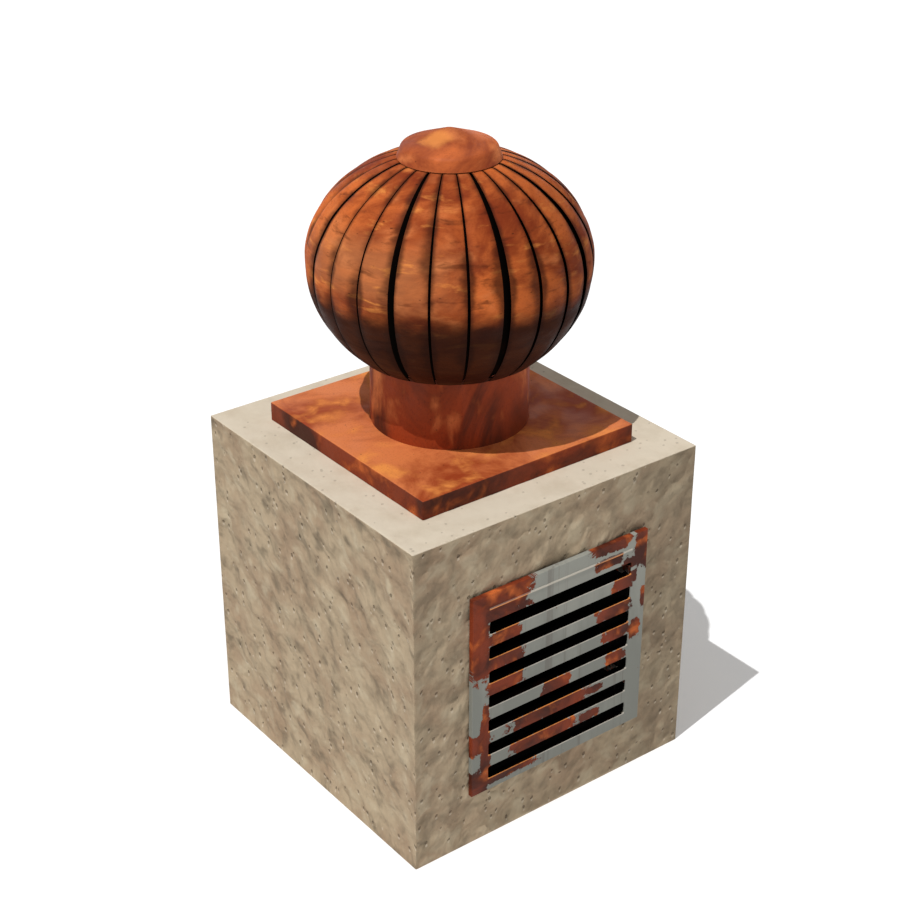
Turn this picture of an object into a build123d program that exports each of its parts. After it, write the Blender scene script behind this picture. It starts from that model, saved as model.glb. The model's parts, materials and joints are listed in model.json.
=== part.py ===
from build123d import *
import os
from math import acos, atan, cos, degrees, hypot, pi, radians, sin

# Turbine roof vent on a hollow concrete upstand, with a louvred grille in the upstand's front wall.
# Millimetres, +Z up. The origin is the centre of the upstand's foot, the grille faces -Y,
# and the rotor turns about the Z axis on a ball bearing at the top of a fixed spindle.

# Clearances
lap_gap = 0.2
hole_clearance = 0.1
running_clearance = 0.05

# Upstand: one concrete casting, open below
upstand_width = 660.0
upstand_depth = 660.0
upstand_height = 678.0
upstand_wall = 90.0
slab_thickness = 80.0
upstand_arris = 3.0
slab_hole_clearance = 6.0

# Louvre grille in the front wall
grille_width = 415.0
grille_height = 430.0
grille_centre_height = 330.0
grille_stand_off = 10.0
grille_sheet = 2.0
grille_bend = 2.5
grille_bearing = 22.0
slot_count = 7
slot_pitch = 53.2
slot_width = 339.0
slot_height = 26.5
slot_corner = 4.0
slot_field_drop = 16.0
lip_depth = 9.0
lip_rise = 2.5
bead_radius = 1.6
bead_above_slot = 28.0

# Lugs that hold the grille inside its wall opening
lug_thickness = 3.0
lug_width = 25.0
lug_length = 80.0
lug_spacing = 240.0
lug_screw_inset = 22.0
screw_radius = 2.5
screw_head_radius = 5.0
screw_head_height = 3.0
screw_length = 38.0
screw_hole_spare = 2.0

# Base flashing
pan_width = 490.0
pan_depth = 490.0
pan_height = 37.0
pan_sheet = 1.5
pan_bend = 3.0

# Throat
throat_radius = 150.0
throat_sheet = 1.2
throat_rise = 165.0
throat_tail = 32.0
throat_flange = 14.0
throat_bead = 2.0

# Clips that tie the throat to the slab
clip_count = 4
clip_sheet = 3.0
clip_width = 30.0
clip_reach = 50.0
clip_leg = 26.0
clip_rivet_drop = 15.0
anchor_radius = 4.0
anchor_length = 48.0
anchor_hole_spare = 2.0
anchor_inset = 20.0
anchor_head_flats = 13.0
anchor_head_height = 5.5

# Rivets
rivet_radius = 2.0
rivet_head_radius = 3.6
rivet_head_height = 1.6
rivet_head_bevel = 1.0

# Spindle and the two fixed spiders that hold it
spindle_radius = 10.0
spindle_stud_radius = 8.0
spindle_stud_spare = 6.0
spider_arms = 4
spider_arm_width = 22.0
spider_arm_sheet = 4.0
spider_tab_height = 22.0
spider_rivet_rise = 13.0
spider_hub_radius = 20.0
spider_hub_height = 14.0
lower_spider_drop = 40.0
upper_spider_drop = 28.0
foot_nut_flats = 24.0
foot_nut_height = 13.0

# Top ball bearing
bearing_bore_radius = 7.5
bearing_outer_radius = 17.5
bearing_width = 11.0
bearing_race_wall = 3.2
ball_radius = 3.0
ball_count = 8
ball_play = 0.1
cage_wall = 1.6
cage_height = 8.4
top_stud_radius = 6.0
top_stud_spare = 3.0
top_nut_flats = 19.0
top_nut_height = 8.0

# Rotor: two half ellipses joined at the equator
rotor_radius = 260.0
equator_rise = 315.0
rotor_rise = 205.0
rotor_drop = 230.0
crown_radius = 97.0
crown_step = 1.4
mouth_clearance = 22.0
mouth_tab = 14.0

# Vanes
vane_count = 24
vane_sheet = 1.0
vane_bulge = 3.0
vane_lift = 2.5
return_lap = 3.0
return_depth = 7.0
return_edge = 0.4
vane_steps = 9
tab_steps = 5
slit_width = 5.0
wide_slit_width = 13.0
wide_slit_every = 3
wide_slit_first = 2
tab_inner_radius = 62.0
tab_outer_radius = 87.0
tab_rivet_radius = 75.0

# Plates that clamp the vane tabs
hub_plate_sheet = 2.0
top_plate_sheet = 1.2
top_plate_rim = 5.0
plate_bore_radius = 15.0
plate_bend = 2.0

# Cap
cap_sheet = 1.2
cap_rim_radius = 94.5
cap_shoulder_radius = 86.0
cap_skirt_height = 21.5
cap_rise = 28.0
cap_shoulder_bend = 7.0
cap_tip_flat = 6.5
cap_tip_bend = 26.0
cap_lift = 1.6

# Bearing housing under the hub plate
housing_flange_radius = 42.0
housing_flange_sheet = 3.0
housing_wall = 4.5
housing_lip = 2.4
housing_tail = 4.0
circlip_sheet = 1.2
circlip_seat = 1.2
circlip_width = 2.6
circlip_gap_degrees = 30.0
bolt_count = 4
bolt_circle_radius = 32.0
bolt_radius = 2.5
bolt_head_radius = 4.2
bolt_head_height = 3.0
bolt_nut_flats = 8.0
bolt_nut_height = 4.0
bolt_spare = 2.0

# Bottom ring and the rotor's lower spider
ring_sheet = 1.5
ring_running_gap = 5.0
ring_lap = 17.0
ring_lip = 4.0
ring_bend = 2.0
rotor_arms = 4
rotor_arm_width = 18.0
rotor_arm_sheet = 3.0
rotor_arm_over_throat = 8.0
rotor_leg_inset = 1.5
rotor_foot_inset = 1.0
rotor_hub_radius = 19.0
rotor_hub_height = 18.0
bush_wall = 4.0
bush_flange = 3.0
bush_flange_height = 2.0

# Heights and radii that pieces share
front_wall = upstand_depth / 2
slab_soffit = upstand_height - slab_thickness
pan_top = upstand_height + pan_height
opening_width = grille_width - 2 * grille_bearing
opening_height = grille_height - 2 * grille_bearing
grille_front = front_wall + grille_stand_off
grille_back = grille_front - grille_sheet
slot_field_height = grille_centre_height - slot_field_drop
jamb = opening_width / 2
lug_end = grille_back - lug_length
screw_depth = lug_end + lug_screw_inset
screw_hole = screw_radius + hole_clearance
throat_inner_radius = throat_radius - throat_sheet
throat_top = pan_top + throat_rise
throat_foot = slab_soffit - throat_tail
clip_start = 180 / clip_count
clip_inner_radius = throat_radius + lap_gap
clip_outer_radius = clip_inner_radius + clip_reach
clip_rivet_height = slab_soffit - clip_rivet_drop
anchor_circle_radius = clip_outer_radius - anchor_inset
anchor_hole = anchor_radius + hole_clearance
rivet_hole = rivet_radius + hole_clearance
spider_reach = throat_inner_radius - lap_gap
spider_tab_radius = spider_reach - spider_arm_sheet
lower_spider_height = upstand_height - lower_spider_drop
upper_spider_height = throat_top - upper_spider_drop
spindle_shoulder = lower_spider_height + spider_hub_height
pitch_radius = (bearing_bore_radius + bearing_outer_radius) / 2
equator = pan_top + equator_rise
mouth_radius = throat_radius + mouth_clearance
vane_pitch = 360 / vane_count
clip_angles = [clip_start + clip * 360 / clip_count for clip in range(clip_count)]
arm_angles = [arm * 360 / spider_arms for arm in range(spider_arms)]


def rotor_point(angle):
    """Radius and height of the rotor's surface, with the angle in degrees up from the equator."""
    half_height = rotor_rise if angle > 0 else rotor_drop
    return rotor_radius * cos(radians(angle)), equator + half_height * sin(radians(angle))


def rotor_fall(angle):
    """Unit direction, out and up, in which the rotor's surface runs down at that angle."""
    half_height = rotor_rise if angle > 0 else rotor_drop
    out = rotor_radius * sin(radians(angle))
    up = -half_height * cos(radians(angle))
    return out / hypot(out, up), up / hypot(out, up)


def radial_plane(angle, radius, height):
    """Plane at that angle and radius which faces away from the Z axis."""
    away = Vector(1, 0, 0).rotate(Axis.Z, angle)
    return Plane(away * radius + Vector(0, 0, height), x_dir=away.rotate(Axis.Z, 90), z_dir=away)


# Rotor heights, from the crown down and from the mouth up
crown_angle = degrees(acos(crown_radius / rotor_radius))
tab_height = rotor_point(crown_angle)[1] + crown_step
hub_plate_top = tab_height - vane_sheet / 2 - lap_gap
hub_plate_foot = hub_plate_top - hub_plate_sheet
top_plate_foot = tab_height + vane_sheet / 2 + lap_gap
top_plate_top = top_plate_foot + top_plate_sheet
bearing_top = hub_plate_foot - housing_flange_sheet
bearing_foot = bearing_top - bearing_width
bearing_middle = bearing_top - bearing_width / 2
mouth_angle = -degrees(acos((mouth_radius + mouth_tab) / rotor_radius))
mouth_out, mouth_up = rotor_fall(mouth_angle)
mouth_height = rotor_point(mouth_angle)[1] - mouth_tab * mouth_up / mouth_out
ring_offset = vane_sheet / 2 + lap_gap + ring_sheet / 2
ring_knee_radius = mouth_radius + ring_offset * mouth_up + ring_lip * mouth_out
ring_knee_height = mouth_height - ring_offset * mouth_out + ring_lip * mouth_up
ring_flange_top = ring_knee_height + ring_sheet / 2
ring_bore_radius = throat_radius + ring_running_gap
leg_outer_radius = ring_knee_radius - rotor_leg_inset
leg_inner_radius = leg_outer_radius - rotor_arm_sheet
foot_inner_radius = ring_bore_radius + rotor_foot_inset
foot_rivet_radius = (foot_inner_radius + leg_inner_radius) / 2
rotor_arm_height = throat_top + throat_bead + rotor_arm_over_throat
bush_bore_radius = spindle_radius + running_clearance
bush_radius = bush_bore_radius + bush_wall

os.makedirs("parts", exist_ok=True)


def make_rivet(grip):
    """Rivet along Z whose grip runs from Z 0 to the given length."""
    with BuildPart() as rivet:
        with BuildSketch():
            Circle(rivet_head_radius)
        extrude(amount=-rivet_head_height)
        chamfer(rivet.edges().sort_by(Axis.Z)[0], rivet_head_bevel)
        with BuildSketch():
            Circle(rivet_radius)
        extrude(amount=grip)
        with BuildSketch(Plane.XY.offset(grip)):
            Circle(rivet_head_radius)
        extrude(amount=rivet_head_height)
        chamfer(rivet.edges().sort_by(Axis.Z)[-1], rivet_head_bevel)
    return rivet.part


def make_nut(foot, flats, height, stud_radius):
    """Hexagon nut that stands at the given height."""
    with BuildPart() as nut:
        with BuildSketch(Plane.XY.offset(foot)):
            RegularPolygon(flats / 2, 6, major_radius=False)
            Circle(stud_radius + hole_clearance, mode=Mode.SUBTRACT)
        extrude(amount=height)
    return nut.part


# Upstand
with BuildPart() as upstand:
    Box(upstand_width, upstand_depth, upstand_height, align=(Align.CENTER, Align.CENTER, Align.MIN))
    fillet(upstand.edges().filter_by(Axis.Z) + upstand.edges().group_by(Axis.Z)[-1], upstand_arris)
    with BuildSketch():
        Rectangle(upstand_width - 2 * upstand_wall, upstand_depth - 2 * upstand_wall)
    extrude(amount=slab_soffit, mode=Mode.SUBTRACT)
    with BuildSketch(Plane.XY.offset(slab_soffit)):
        Circle(throat_radius + slab_hole_clearance)
    extrude(amount=slab_thickness, mode=Mode.SUBTRACT)
    with BuildSketch(Plane.XY.offset(slab_soffit)):
        with PolarLocations(anchor_circle_radius, clip_count, start_angle=clip_start):
            Circle(anchor_hole)
    extrude(amount=anchor_length - clip_sheet + anchor_hole_spare, mode=Mode.SUBTRACT)
    with BuildSketch(Plane.XZ.offset(front_wall)):
        with Locations((0, grille_centre_height)):
            Rectangle(opening_width, opening_height)
    extrude(amount=-upstand_wall, mode=Mode.SUBTRACT)
    with BuildSketch(Plane.YZ):
        with Locations((-screw_depth, grille_centre_height)):
            with GridLocations(lug_spacing, lug_spacing, 1, 2):
                Circle(screw_hole)
    extrude(amount=jamb - lug_thickness + screw_length + screw_hole_spare, both=True, mode=Mode.SUBTRACT)
upstand.part.label = "upstand"
export_step(upstand.part, "parts/upstand.step")

# Louvre grille: a shallow pressed pan with lipped slots
with BuildPart() as louvre_grille:
    with BuildSketch(Plane.XZ.offset(front_wall)):
        with Locations((0, grille_centre_height)):
            Rectangle(grille_width, grille_height)
    extrude(amount=grille_stand_off)
    fillet(louvre_grille.faces().sort_by(Axis.Y)[0].edges(), grille_bend)
    offset(amount=-grille_sheet, openings=louvre_grille.faces().sort_by(Axis.Y)[-1])
    with BuildSketch(Plane.XZ.offset(grille_front)):
        with Locations((0, slot_field_height)):
            with GridLocations(slot_pitch, slot_pitch, 1, slot_count):
                RectangleRounded(slot_width, slot_height, slot_corner)
    extrude(amount=-grille_sheet, mode=Mode.SUBTRACT)
    with BuildSketch(Plane.YZ):
        with Locations((-grille_front, slot_field_height - slot_height / 2)):
            with GridLocations(slot_pitch, slot_pitch, 1, slot_count):
                Polygon(
                    (0, 0),
                    (0, -grille_sheet),
                    (grille_sheet + lip_depth, lip_rise - grille_sheet),
                    (grille_sheet + lip_depth, lip_rise),
                    align=None,
                )
    extrude(amount=slot_width / 2 - slot_corner, both=True)
    with BuildSketch(Plane.YZ):
        top_slot_edge = slot_field_height + (slot_count - 1) * slot_pitch / 2 + slot_height / 2
        with Locations((-grille_front, top_slot_edge + bead_above_slot)):
            Circle(bead_radius)
    extrude(amount=slot_width / 2, both=True)
louvre_grille.part.label = "louvre_grille"
export_step(louvre_grille.part, "parts/louvre_grille.step")

# Grille lugs: flat bars on the back of the grille, along the jambs of its opening
with BuildPart() as grille_lugs:
    for side in (-1, 1):
        with BuildSketch(Plane.YZ.offset(side * jamb)):
            with Locations((-grille_back + lug_length / 2, grille_centre_height)):
                with GridLocations(lug_spacing, lug_spacing, 1, 2):
                    Rectangle(lug_length, lug_width)
            with Locations((-screw_depth, grille_centre_height)):
                with GridLocations(lug_spacing, lug_spacing, 1, 2):
                    Circle(screw_hole, mode=Mode.SUBTRACT)
        extrude(amount=-side * lug_thickness)
grille_lugs.part.label = "grille_lugs"
export_step(grille_lugs.part, "parts/grille_lugs.step")

with BuildPart() as lug_screws:
    for side in (-1, 1):
        for radius, length in ((screw_radius, screw_length), (screw_head_radius, -screw_head_height)):
            with BuildSketch(Plane.YZ.offset(side * (jamb - lug_thickness))):
                with Locations((-screw_depth, grille_centre_height)):
                    with GridLocations(lug_spacing, lug_spacing, 1, 2):
                        Circle(radius)
            extrude(amount=side * length)
lug_screws.part.label = "lug_screws"
export_step(lug_screws.part, "parts/lug_screws.step")

# Base flashing: a sheet pan turned down over the slab
with BuildPart() as base_flashing:
    with BuildSketch(Plane.XY.offset(upstand_height)):
        Rectangle(pan_width, pan_depth)
    extrude(amount=pan_height)
    fillet(base_flashing.edges().filter_by(Axis.Z) + base_flashing.edges().group_by(Axis.Z)[-1], pan_bend)
    offset(amount=-pan_sheet, openings=base_flashing.faces().sort_by(Axis.Z)[0])
    with BuildSketch(Plane.XY.offset(pan_top)):
        Circle(throat_radius + lap_gap)
    extrude(amount=-pan_sheet, mode=Mode.SUBTRACT)
base_flashing.part.label = "base_flashing"
export_step(base_flashing.part, "parts/base_flashing.step")

# Throat: rolled duct with a flange under the pan and a wired top edge
with BuildPart() as throat:
    with BuildSketch(Plane.XZ):
        with Locations((throat_inner_radius, throat_foot)):
            Rectangle(throat_sheet, throat_top - throat_foot, align=(Align.MIN, Align.MIN))
        with Locations((throat_inner_radius, pan_top - pan_sheet)):
            Rectangle(throat_sheet + throat_flange, throat_sheet, align=(Align.MIN, Align.MAX))
        with Locations((throat_radius - throat_sheet / 2, throat_top)):
            Circle(throat_bead)
    revolve(axis=Axis.Z)
    for height in (lower_spider_height, upper_spider_height):
        for angle in arm_angles:
            with BuildSketch(radial_plane(angle, spider_tab_radius, height + spider_rivet_rise)):
                Circle(rivet_hole)
            extrude(amount=throat_radius - spider_tab_radius, mode=Mode.SUBTRACT)
    for angle in clip_angles:
        with BuildSketch(radial_plane(angle, spider_tab_radius, clip_rivet_height)):
            Circle(rivet_hole)
        extrude(amount=throat_radius - spider_tab_radius, mode=Mode.SUBTRACT)
throat.part.label = "throat"
export_step(throat.part, "parts/throat.step")

# Hold-down clips: bent straps from the throat's tail to the slab's soffit
with BuildPart() as hold_down_clips:
    with BuildSketch(Plane.XY.offset(slab_soffit)):
        with PolarLocations(0, clip_count, start_angle=clip_start):
            Rectangle(clip_outer_radius, clip_width, align=(Align.MIN, Align.CENTER))
        Circle(clip_inner_radius, mode=Mode.SUBTRACT)
        with PolarLocations(anchor_circle_radius, clip_count, start_angle=clip_start):
            Circle(anchor_hole, mode=Mode.SUBTRACT)
    extrude(amount=-clip_sheet)
    with BuildSketch(Plane.XY.offset(slab_soffit)):
        with PolarLocations(0, clip_count, start_angle=clip_start):
            Rectangle(clip_outer_radius, clip_width, align=(Align.MIN, Align.CENTER))
        Circle(clip_inner_radius + clip_sheet, mode=Mode.INTERSECT)
        Circle(clip_inner_radius, mode=Mode.SUBTRACT)
    extrude(amount=-clip_leg)
    for angle in clip_angles:
        with BuildSketch(radial_plane(angle, throat_radius, clip_rivet_height)):
            Circle(rivet_hole)
        extrude(amount=clip_reach, mode=Mode.SUBTRACT)
hold_down_clips.part.label = "hold_down_clips"
export_step(hold_down_clips.part, "parts/hold_down_clips.step")

with BuildPart() as clip_anchors:
    with BuildSketch(Plane.XY.offset(slab_soffit - clip_sheet)):
        with PolarLocations(anchor_circle_radius, clip_count, start_angle=clip_start):
            Circle(anchor_radius)
    extrude(amount=anchor_length)
    with BuildSketch(Plane.XY.offset(slab_soffit - clip_sheet)):
        with PolarLocations(anchor_circle_radius, clip_count, start_angle=clip_start):
            RegularPolygon(anchor_head_flats / 2, 6, major_radius=False)
    extrude(amount=-anchor_head_height)
clip_anchors.part.label = "clip_anchors"
export_step(clip_anchors.part, "parts/clip_anchors.step")

clip_rivet_foot = throat_inner_radius - lap_gap
clip_rivet = make_rivet(clip_inner_radius + clip_sheet - clip_rivet_foot)
with BuildPart() as clip_rivets:
    for angle in clip_angles:
        with Locations(radial_plane(angle, clip_rivet_foot, clip_rivet_height)):
            add(clip_rivet)
clip_rivets.part.label = "clip_rivets"
export_step(clip_rivets.part, "parts/clip_rivets.step")

# Fixed spiders: crossed flat bars with turned-up tabs on the throat's wall
for spider_name, spider_height, spider_bore in (
    ("lower_spider", lower_spider_height, spindle_stud_radius),
    ("upper_spider", upper_spider_height, spindle_radius),
):
    with BuildPart() as spider:
        for inner_radius, rise in ((0, spider_arm_sheet), (spider_tab_radius, spider_tab_height)):
            with BuildSketch(Plane.XY.offset(spider_height)):
                with PolarLocations(0, spider_arms):
                    Rectangle(2 * spider_reach, spider_arm_width, align=(Align.MIN, Align.CENTER))
                Circle(spider_reach, mode=Mode.INTERSECT)
                if inner_radius:
                    Circle(inner_radius, mode=Mode.SUBTRACT)
            extrude(amount=rise)
        with BuildSketch(Plane.XY.offset(spider_height)):
            Circle(spider_hub_radius)
        extrude(amount=spider_hub_height)
        with BuildSketch(Plane.XY.offset(spider_height)):
            Circle(spider_bore + hole_clearance)
        extrude(amount=spider_hub_height, mode=Mode.SUBTRACT)
        for angle in arm_angles:
            with BuildSketch(radial_plane(angle, spider_hub_radius, spider_height + spider_rivet_rise)):
                Circle(rivet_hole)
            extrude(amount=spider_reach, mode=Mode.SUBTRACT)
    spider.part.label = spider_name
    export_step(spider.part, f"parts/{spider_name}.step")

spider_rivet_foot = spider_tab_radius - lap_gap
spider_rivet = make_rivet(throat_radius - spider_rivet_foot)
with BuildPart() as spider_rivets:
    for height in (lower_spider_height, upper_spider_height):
        for angle in arm_angles:
            with Locations(radial_plane(angle, spider_rivet_foot, height + spider_rivet_rise)):
                add(spider_rivet)
spider_rivets.part.label = "spider_rivets"
export_step(spider_rivets.part, "parts/spider_rivets.step")

# Spindle: a stepped rod whose lower shoulder stands on the lower spider's hub
spindle_foot = lower_spider_height - foot_nut_height - spindle_stud_spare
spindle_top = bearing_top + top_nut_height + top_stud_spare
with BuildPart() as spindle:
    for foot, top, radius in (
        (spindle_foot, spindle_shoulder, spindle_stud_radius),
        (spindle_shoulder, bearing_foot, spindle_radius),
        (bearing_foot, bearing_top, bearing_bore_radius - running_clearance),
        (bearing_top, spindle_top, top_stud_radius),
    ):
        with BuildSketch(Plane.XY.offset(foot)):
            Circle(radius)
        extrude(amount=top - foot)
spindle.part.label = "spindle"
export_step(spindle.part, "parts/spindle.step")

spindle_foot_nut = make_nut(
    lower_spider_height - foot_nut_height, foot_nut_flats, foot_nut_height, spindle_stud_radius
)
spindle_foot_nut.label = "spindle_foot_nut"
export_step(spindle_foot_nut, "parts/spindle_foot_nut.step")

spindle_top_nut = make_nut(bearing_top, top_nut_flats, top_nut_height, top_stud_radius)
spindle_top_nut.label = "spindle_top_nut"
export_step(spindle_top_nut, "parts/spindle_top_nut.step")

# Top bearing: two grooved races, with balls in a cage between them
for race_name, race_radius in (
    ("bearing_inner_race", bearing_bore_radius),
    ("bearing_outer_race", bearing_outer_radius - bearing_race_wall),
):
    with BuildPart() as race:
        with BuildSketch(Plane.XZ):
            with Locations((race_radius, bearing_foot)):
                Rectangle(bearing_race_wall, bearing_width, align=(Align.MIN, Align.MIN))
            with Locations((pitch_radius, bearing_middle)):
                Circle(ball_radius + ball_play, mode=Mode.SUBTRACT)
        revolve(axis=Axis.Z)
    race.part.label = race_name
    export_step(race.part, f"parts/{race_name}.step")

with BuildPart() as bearing_cage:
    with BuildSketch(Plane.XY.offset(bearing_middle)):
        Circle(pitch_radius + cage_wall / 2)
        Circle(pitch_radius - cage_wall / 2, mode=Mode.SUBTRACT)
    extrude(amount=cage_height / 2, both=True)
    for ball in range(ball_count):
        with BuildSketch(radial_plane(ball * 360 / ball_count, bearing_bore_radius, bearing_middle)):
            Circle(ball_radius + ball_play)
        extrude(amount=bearing_outer_radius - bearing_bore_radius, mode=Mode.SUBTRACT)
bearing_cage.part.label = "bearing_cage"
export_step(bearing_cage.part, "parts/bearing_cage.step")

with BuildPart() as bearing_balls:
    with Locations((0, 0, bearing_middle)):
        with PolarLocations(pitch_radius, ball_count):
            Sphere(ball_radius)
bearing_balls.part.label = "bearing_balls"
export_step(bearing_balls.part, "parts/bearing_balls.step")

# Bearing housing: a flanged cup whose lip sits on the outer race, closed below by a circlip
with BuildPart() as bearing_housing:
    with BuildSketch(Plane.XZ):
        with Locations((bearing_outer_radius - housing_lip, bearing_top)):
            Rectangle(
                housing_flange_radius - bearing_outer_radius + housing_lip,
                housing_flange_sheet,
                align=(Align.MIN, Align.MIN),
            )
        with Locations((bearing_outer_radius + running_clearance, bearing_top)):
            Rectangle(housing_wall, bearing_width + housing_tail, align=(Align.MIN, Align.MAX))
        with Locations((bearing_outer_radius, bearing_foot)):
            Rectangle(
                circlip_seat + hole_clearance,
                circlip_sheet + hole_clearance,
                align=(Align.MIN, Align.MAX),
                mode=Mode.SUBTRACT,
            )
    revolve(axis=Axis.Z)
    with BuildSketch(Plane.XY.offset(bearing_top)):
        with PolarLocations(bolt_circle_radius, bolt_count):
            Circle(bolt_radius + hole_clearance)
    extrude(amount=housing_flange_sheet, mode=Mode.SUBTRACT)
bearing_housing.part.label = "bearing_housing"
export_step(bearing_housing.part, "parts/bearing_housing.step")

with BuildPart() as bearing_circlip:
    with BuildSketch(Plane.XZ):
        with Locations((bearing_outer_radius + circlip_seat, bearing_foot)):
            Rectangle(circlip_width, circlip_sheet, align=(Align.MAX, Align.MAX))
    revolve(axis=Axis.Z, revolution_arc=360 - circlip_gap_degrees)
bearing_circlip.part.label = "bearing_circlip"
export_step(bearing_circlip.part, "parts/bearing_circlip.step")

# Hub plate under the vane tabs
with BuildPart() as hub_plate:
    with BuildSketch(Plane.XY.offset(hub_plate_foot)):
        Circle(tab_outer_radius)
        Circle(plate_bore_radius, mode=Mode.SUBTRACT)
        with PolarLocations(bolt_circle_radius, bolt_count):
            Circle(bolt_radius + hole_clearance, mode=Mode.SUBTRACT)
        with PolarLocations(tab_rivet_radius, vane_count, start_angle=vane_pitch / 2):
            Circle(rivet_hole, mode=Mode.SUBTRACT)
    extrude(amount=hub_plate_sheet)
hub_plate.part.label = "hub_plate"
export_step(hub_plate.part, "parts/hub_plate.step")

# Cap: a low cone with a leaning skirt, drawn along the middle of its sheet
cap_foot = tab_height + cap_lift
cap_shoulder = cap_foot + cap_skirt_height
cap_top = cap_shoulder + cap_rise
skirt_taper = (cap_rim_radius - cap_shoulder_radius) / cap_skirt_height
with BuildPart() as cap:
    with BuildSketch(Plane.XZ):
        with BuildLine() as cap_section:
            Polyline(
                (0, cap_top),
                (cap_tip_flat, cap_top),
                (cap_shoulder_radius - cap_sheet / 2, cap_shoulder),
                (cap_rim_radius - cap_sheet / 2, cap_foot),
            )
            fillet(cap_section.vertices().sort_by(Axis.X)[1], cap_tip_bend)
            fillet(cap_section.vertices().sort_by(Axis.X)[-2], cap_shoulder_bend)
        trace(line_width=cap_sheet)
    revolve(axis=Axis.Z)
cap.part.label = "cap"
export_step(cap.part, "parts/cap.step")

# Top plate over the vane tabs, with a rim that the cap's skirt is crimped on
top_plate_middle = top_plate_foot + top_plate_sheet / 2
rim_step = (cap_sheet / 2 + lap_gap + top_plate_sheet / 2) / cos(atan(skirt_taper))
rim_foot_radius = cap_rim_radius - cap_sheet / 2 - rim_step + skirt_taper * (cap_foot - top_plate_middle)
with BuildPart() as top_plate:
    with BuildSketch(Plane.XZ):
        with BuildLine():
            FilletPolyline(
                (plate_bore_radius, top_plate_middle),
                (rim_foot_radius, top_plate_middle),
                (rim_foot_radius - skirt_taper * top_plate_rim, top_plate_middle + top_plate_rim),
                radius=plate_bend,
            )
        trace(line_width=top_plate_sheet)
    revolve(axis=Axis.Z)
    with BuildSketch(Plane.XY.offset(top_plate_foot)):
        with PolarLocations(bolt_circle_radius, bolt_count):
            Circle(bolt_radius + hole_clearance)
        with PolarLocations(tab_rivet_radius, vane_count, start_angle=vane_pitch / 2):
            Circle(rivet_hole)
    extrude(amount=top_plate_sheet, mode=Mode.SUBTRACT)
top_plate.part.label = "top_plate"
export_step(top_plate.part, "parts/top_plate.step")

# Bolts that hold the housing and both plates together
bolt_grip = top_plate_top - bearing_top
with BuildPart() as housing_bolts:
    for radius, length in (
        (bolt_radius, -(bolt_grip + bolt_nut_height + bolt_spare)),
        (bolt_head_radius, bolt_head_height),
    ):
        with BuildSketch(Plane.XY.offset(top_plate_top)):
            with PolarLocations(bolt_circle_radius, bolt_count):
                Circle(radius)
        extrude(amount=length)
housing_bolts.part.label = "housing_bolts"
export_step(housing_bolts.part, "parts/housing_bolts.step")

bolt_nut = make_nut(bearing_top - bolt_nut_height, bolt_nut_flats, bolt_nut_height, bolt_radius)
with BuildPart() as housing_nuts:
    with PolarLocations(bolt_circle_radius, bolt_count):
        add(bolt_nut)
housing_nuts.part.label = "housing_nuts"
export_step(housing_nuts.part, "parts/housing_nuts.step")

vane_rivet = make_rivet(top_plate_top - hub_plate_foot)
with BuildPart() as vane_rivets:
    with Locations((0, 0, hub_plate_foot)):
        with PolarLocations(tab_rivet_radius, vane_count, start_angle=vane_pitch / 2):
            add(vane_rivet)
vane_rivets.part.label = "vane_rivets"
export_step(vane_rivets.part, "parts/vane_rivets.step")

# Vanes: each is a thin strip lofted from its flat tab over the rotor's curve to its cone at the mouth
vane_path = []
for step in range(tab_steps + 1):
    tab_radius = tab_inner_radius + (tab_outer_radius - tab_inner_radius) * step / tab_steps
    vane_path.append((tab_radius, tab_height, 1, 0, 0))
for step in range(vane_steps + 1):
    share = step / vane_steps
    angle = crown_angle + (mouth_angle - crown_angle) * share
    vane_path.append((*rotor_point(angle), *rotor_fall(angle), sin(pi * share)))
vane_path.append((mouth_radius, mouth_height, mouth_out, mouth_up, 0))


def make_vane(slit_before, slit_after):
    """Vane centred on +X, cupped between its edges, with its last edge turned in under the next vane."""
    first = -vane_pitch / 2 + degrees(slit_before / 2 / rotor_radius)
    last = vane_pitch / 2 - degrees(slit_after / 2 / rotor_radius)
    with BuildPart() as vane:
        for radius, height, out, up, swell in vane_path:
            edges = []
            for angle, lift in ((first, vane_lift), ((first + last) / 2, vane_bulge), (last, -vane_lift)):
                sag = radius * (1 - cos(radians(angle))) * -up
                edges.append(Vector(radius * sin(radians(angle)), swell * lift - sag))
            start, middle, end = edges
            control = middle * 2 - (start + end) / 2
            reach = return_edge + swell * (slit_after + return_lap)
            tip = end + Vector(reach, -return_depth * swell**2)
            half_sheet = Vector(0, vane_sheet / 2)
            with BuildSketch(Plane((radius, 0, height), x_dir=(0, 1, 0), z_dir=(out, 0, up))):
                with BuildLine():
                    Bezier(start + half_sheet, control + half_sheet, end + half_sheet)
                    Polyline(end + half_sheet, tip + half_sheet, tip - half_sheet, end - half_sheet)
                    Bezier(end - half_sheet, control - half_sheet, start - half_sheet)
                    Line(start - half_sheet, start + half_sheet)
                make_face()
        loft()
        with Locations((tab_rivet_radius, 0, tab_height)):
            Cylinder(rivet_hole, 3 * vane_sheet, mode=Mode.SUBTRACT)
    return vane.part


def slit_at(seam):
    """Width of the slit at a seam, counted round from +X."""
    return wide_slit_width if seam % wide_slit_every == wide_slit_first else slit_width


for number in range(vane_count):
    vane_form = make_vane(slit_at(number), slit_at(number + 1))
    with BuildPart() as vane:
        with Locations(Rotation(0, 0, (number + 0.5) * vane_pitch)):
            add(vane_form)
    vane.part.label = f"vane_{number + 1:02d}"
    export_step(vane.part, f"parts/{vane.part.label}.step")

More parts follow.
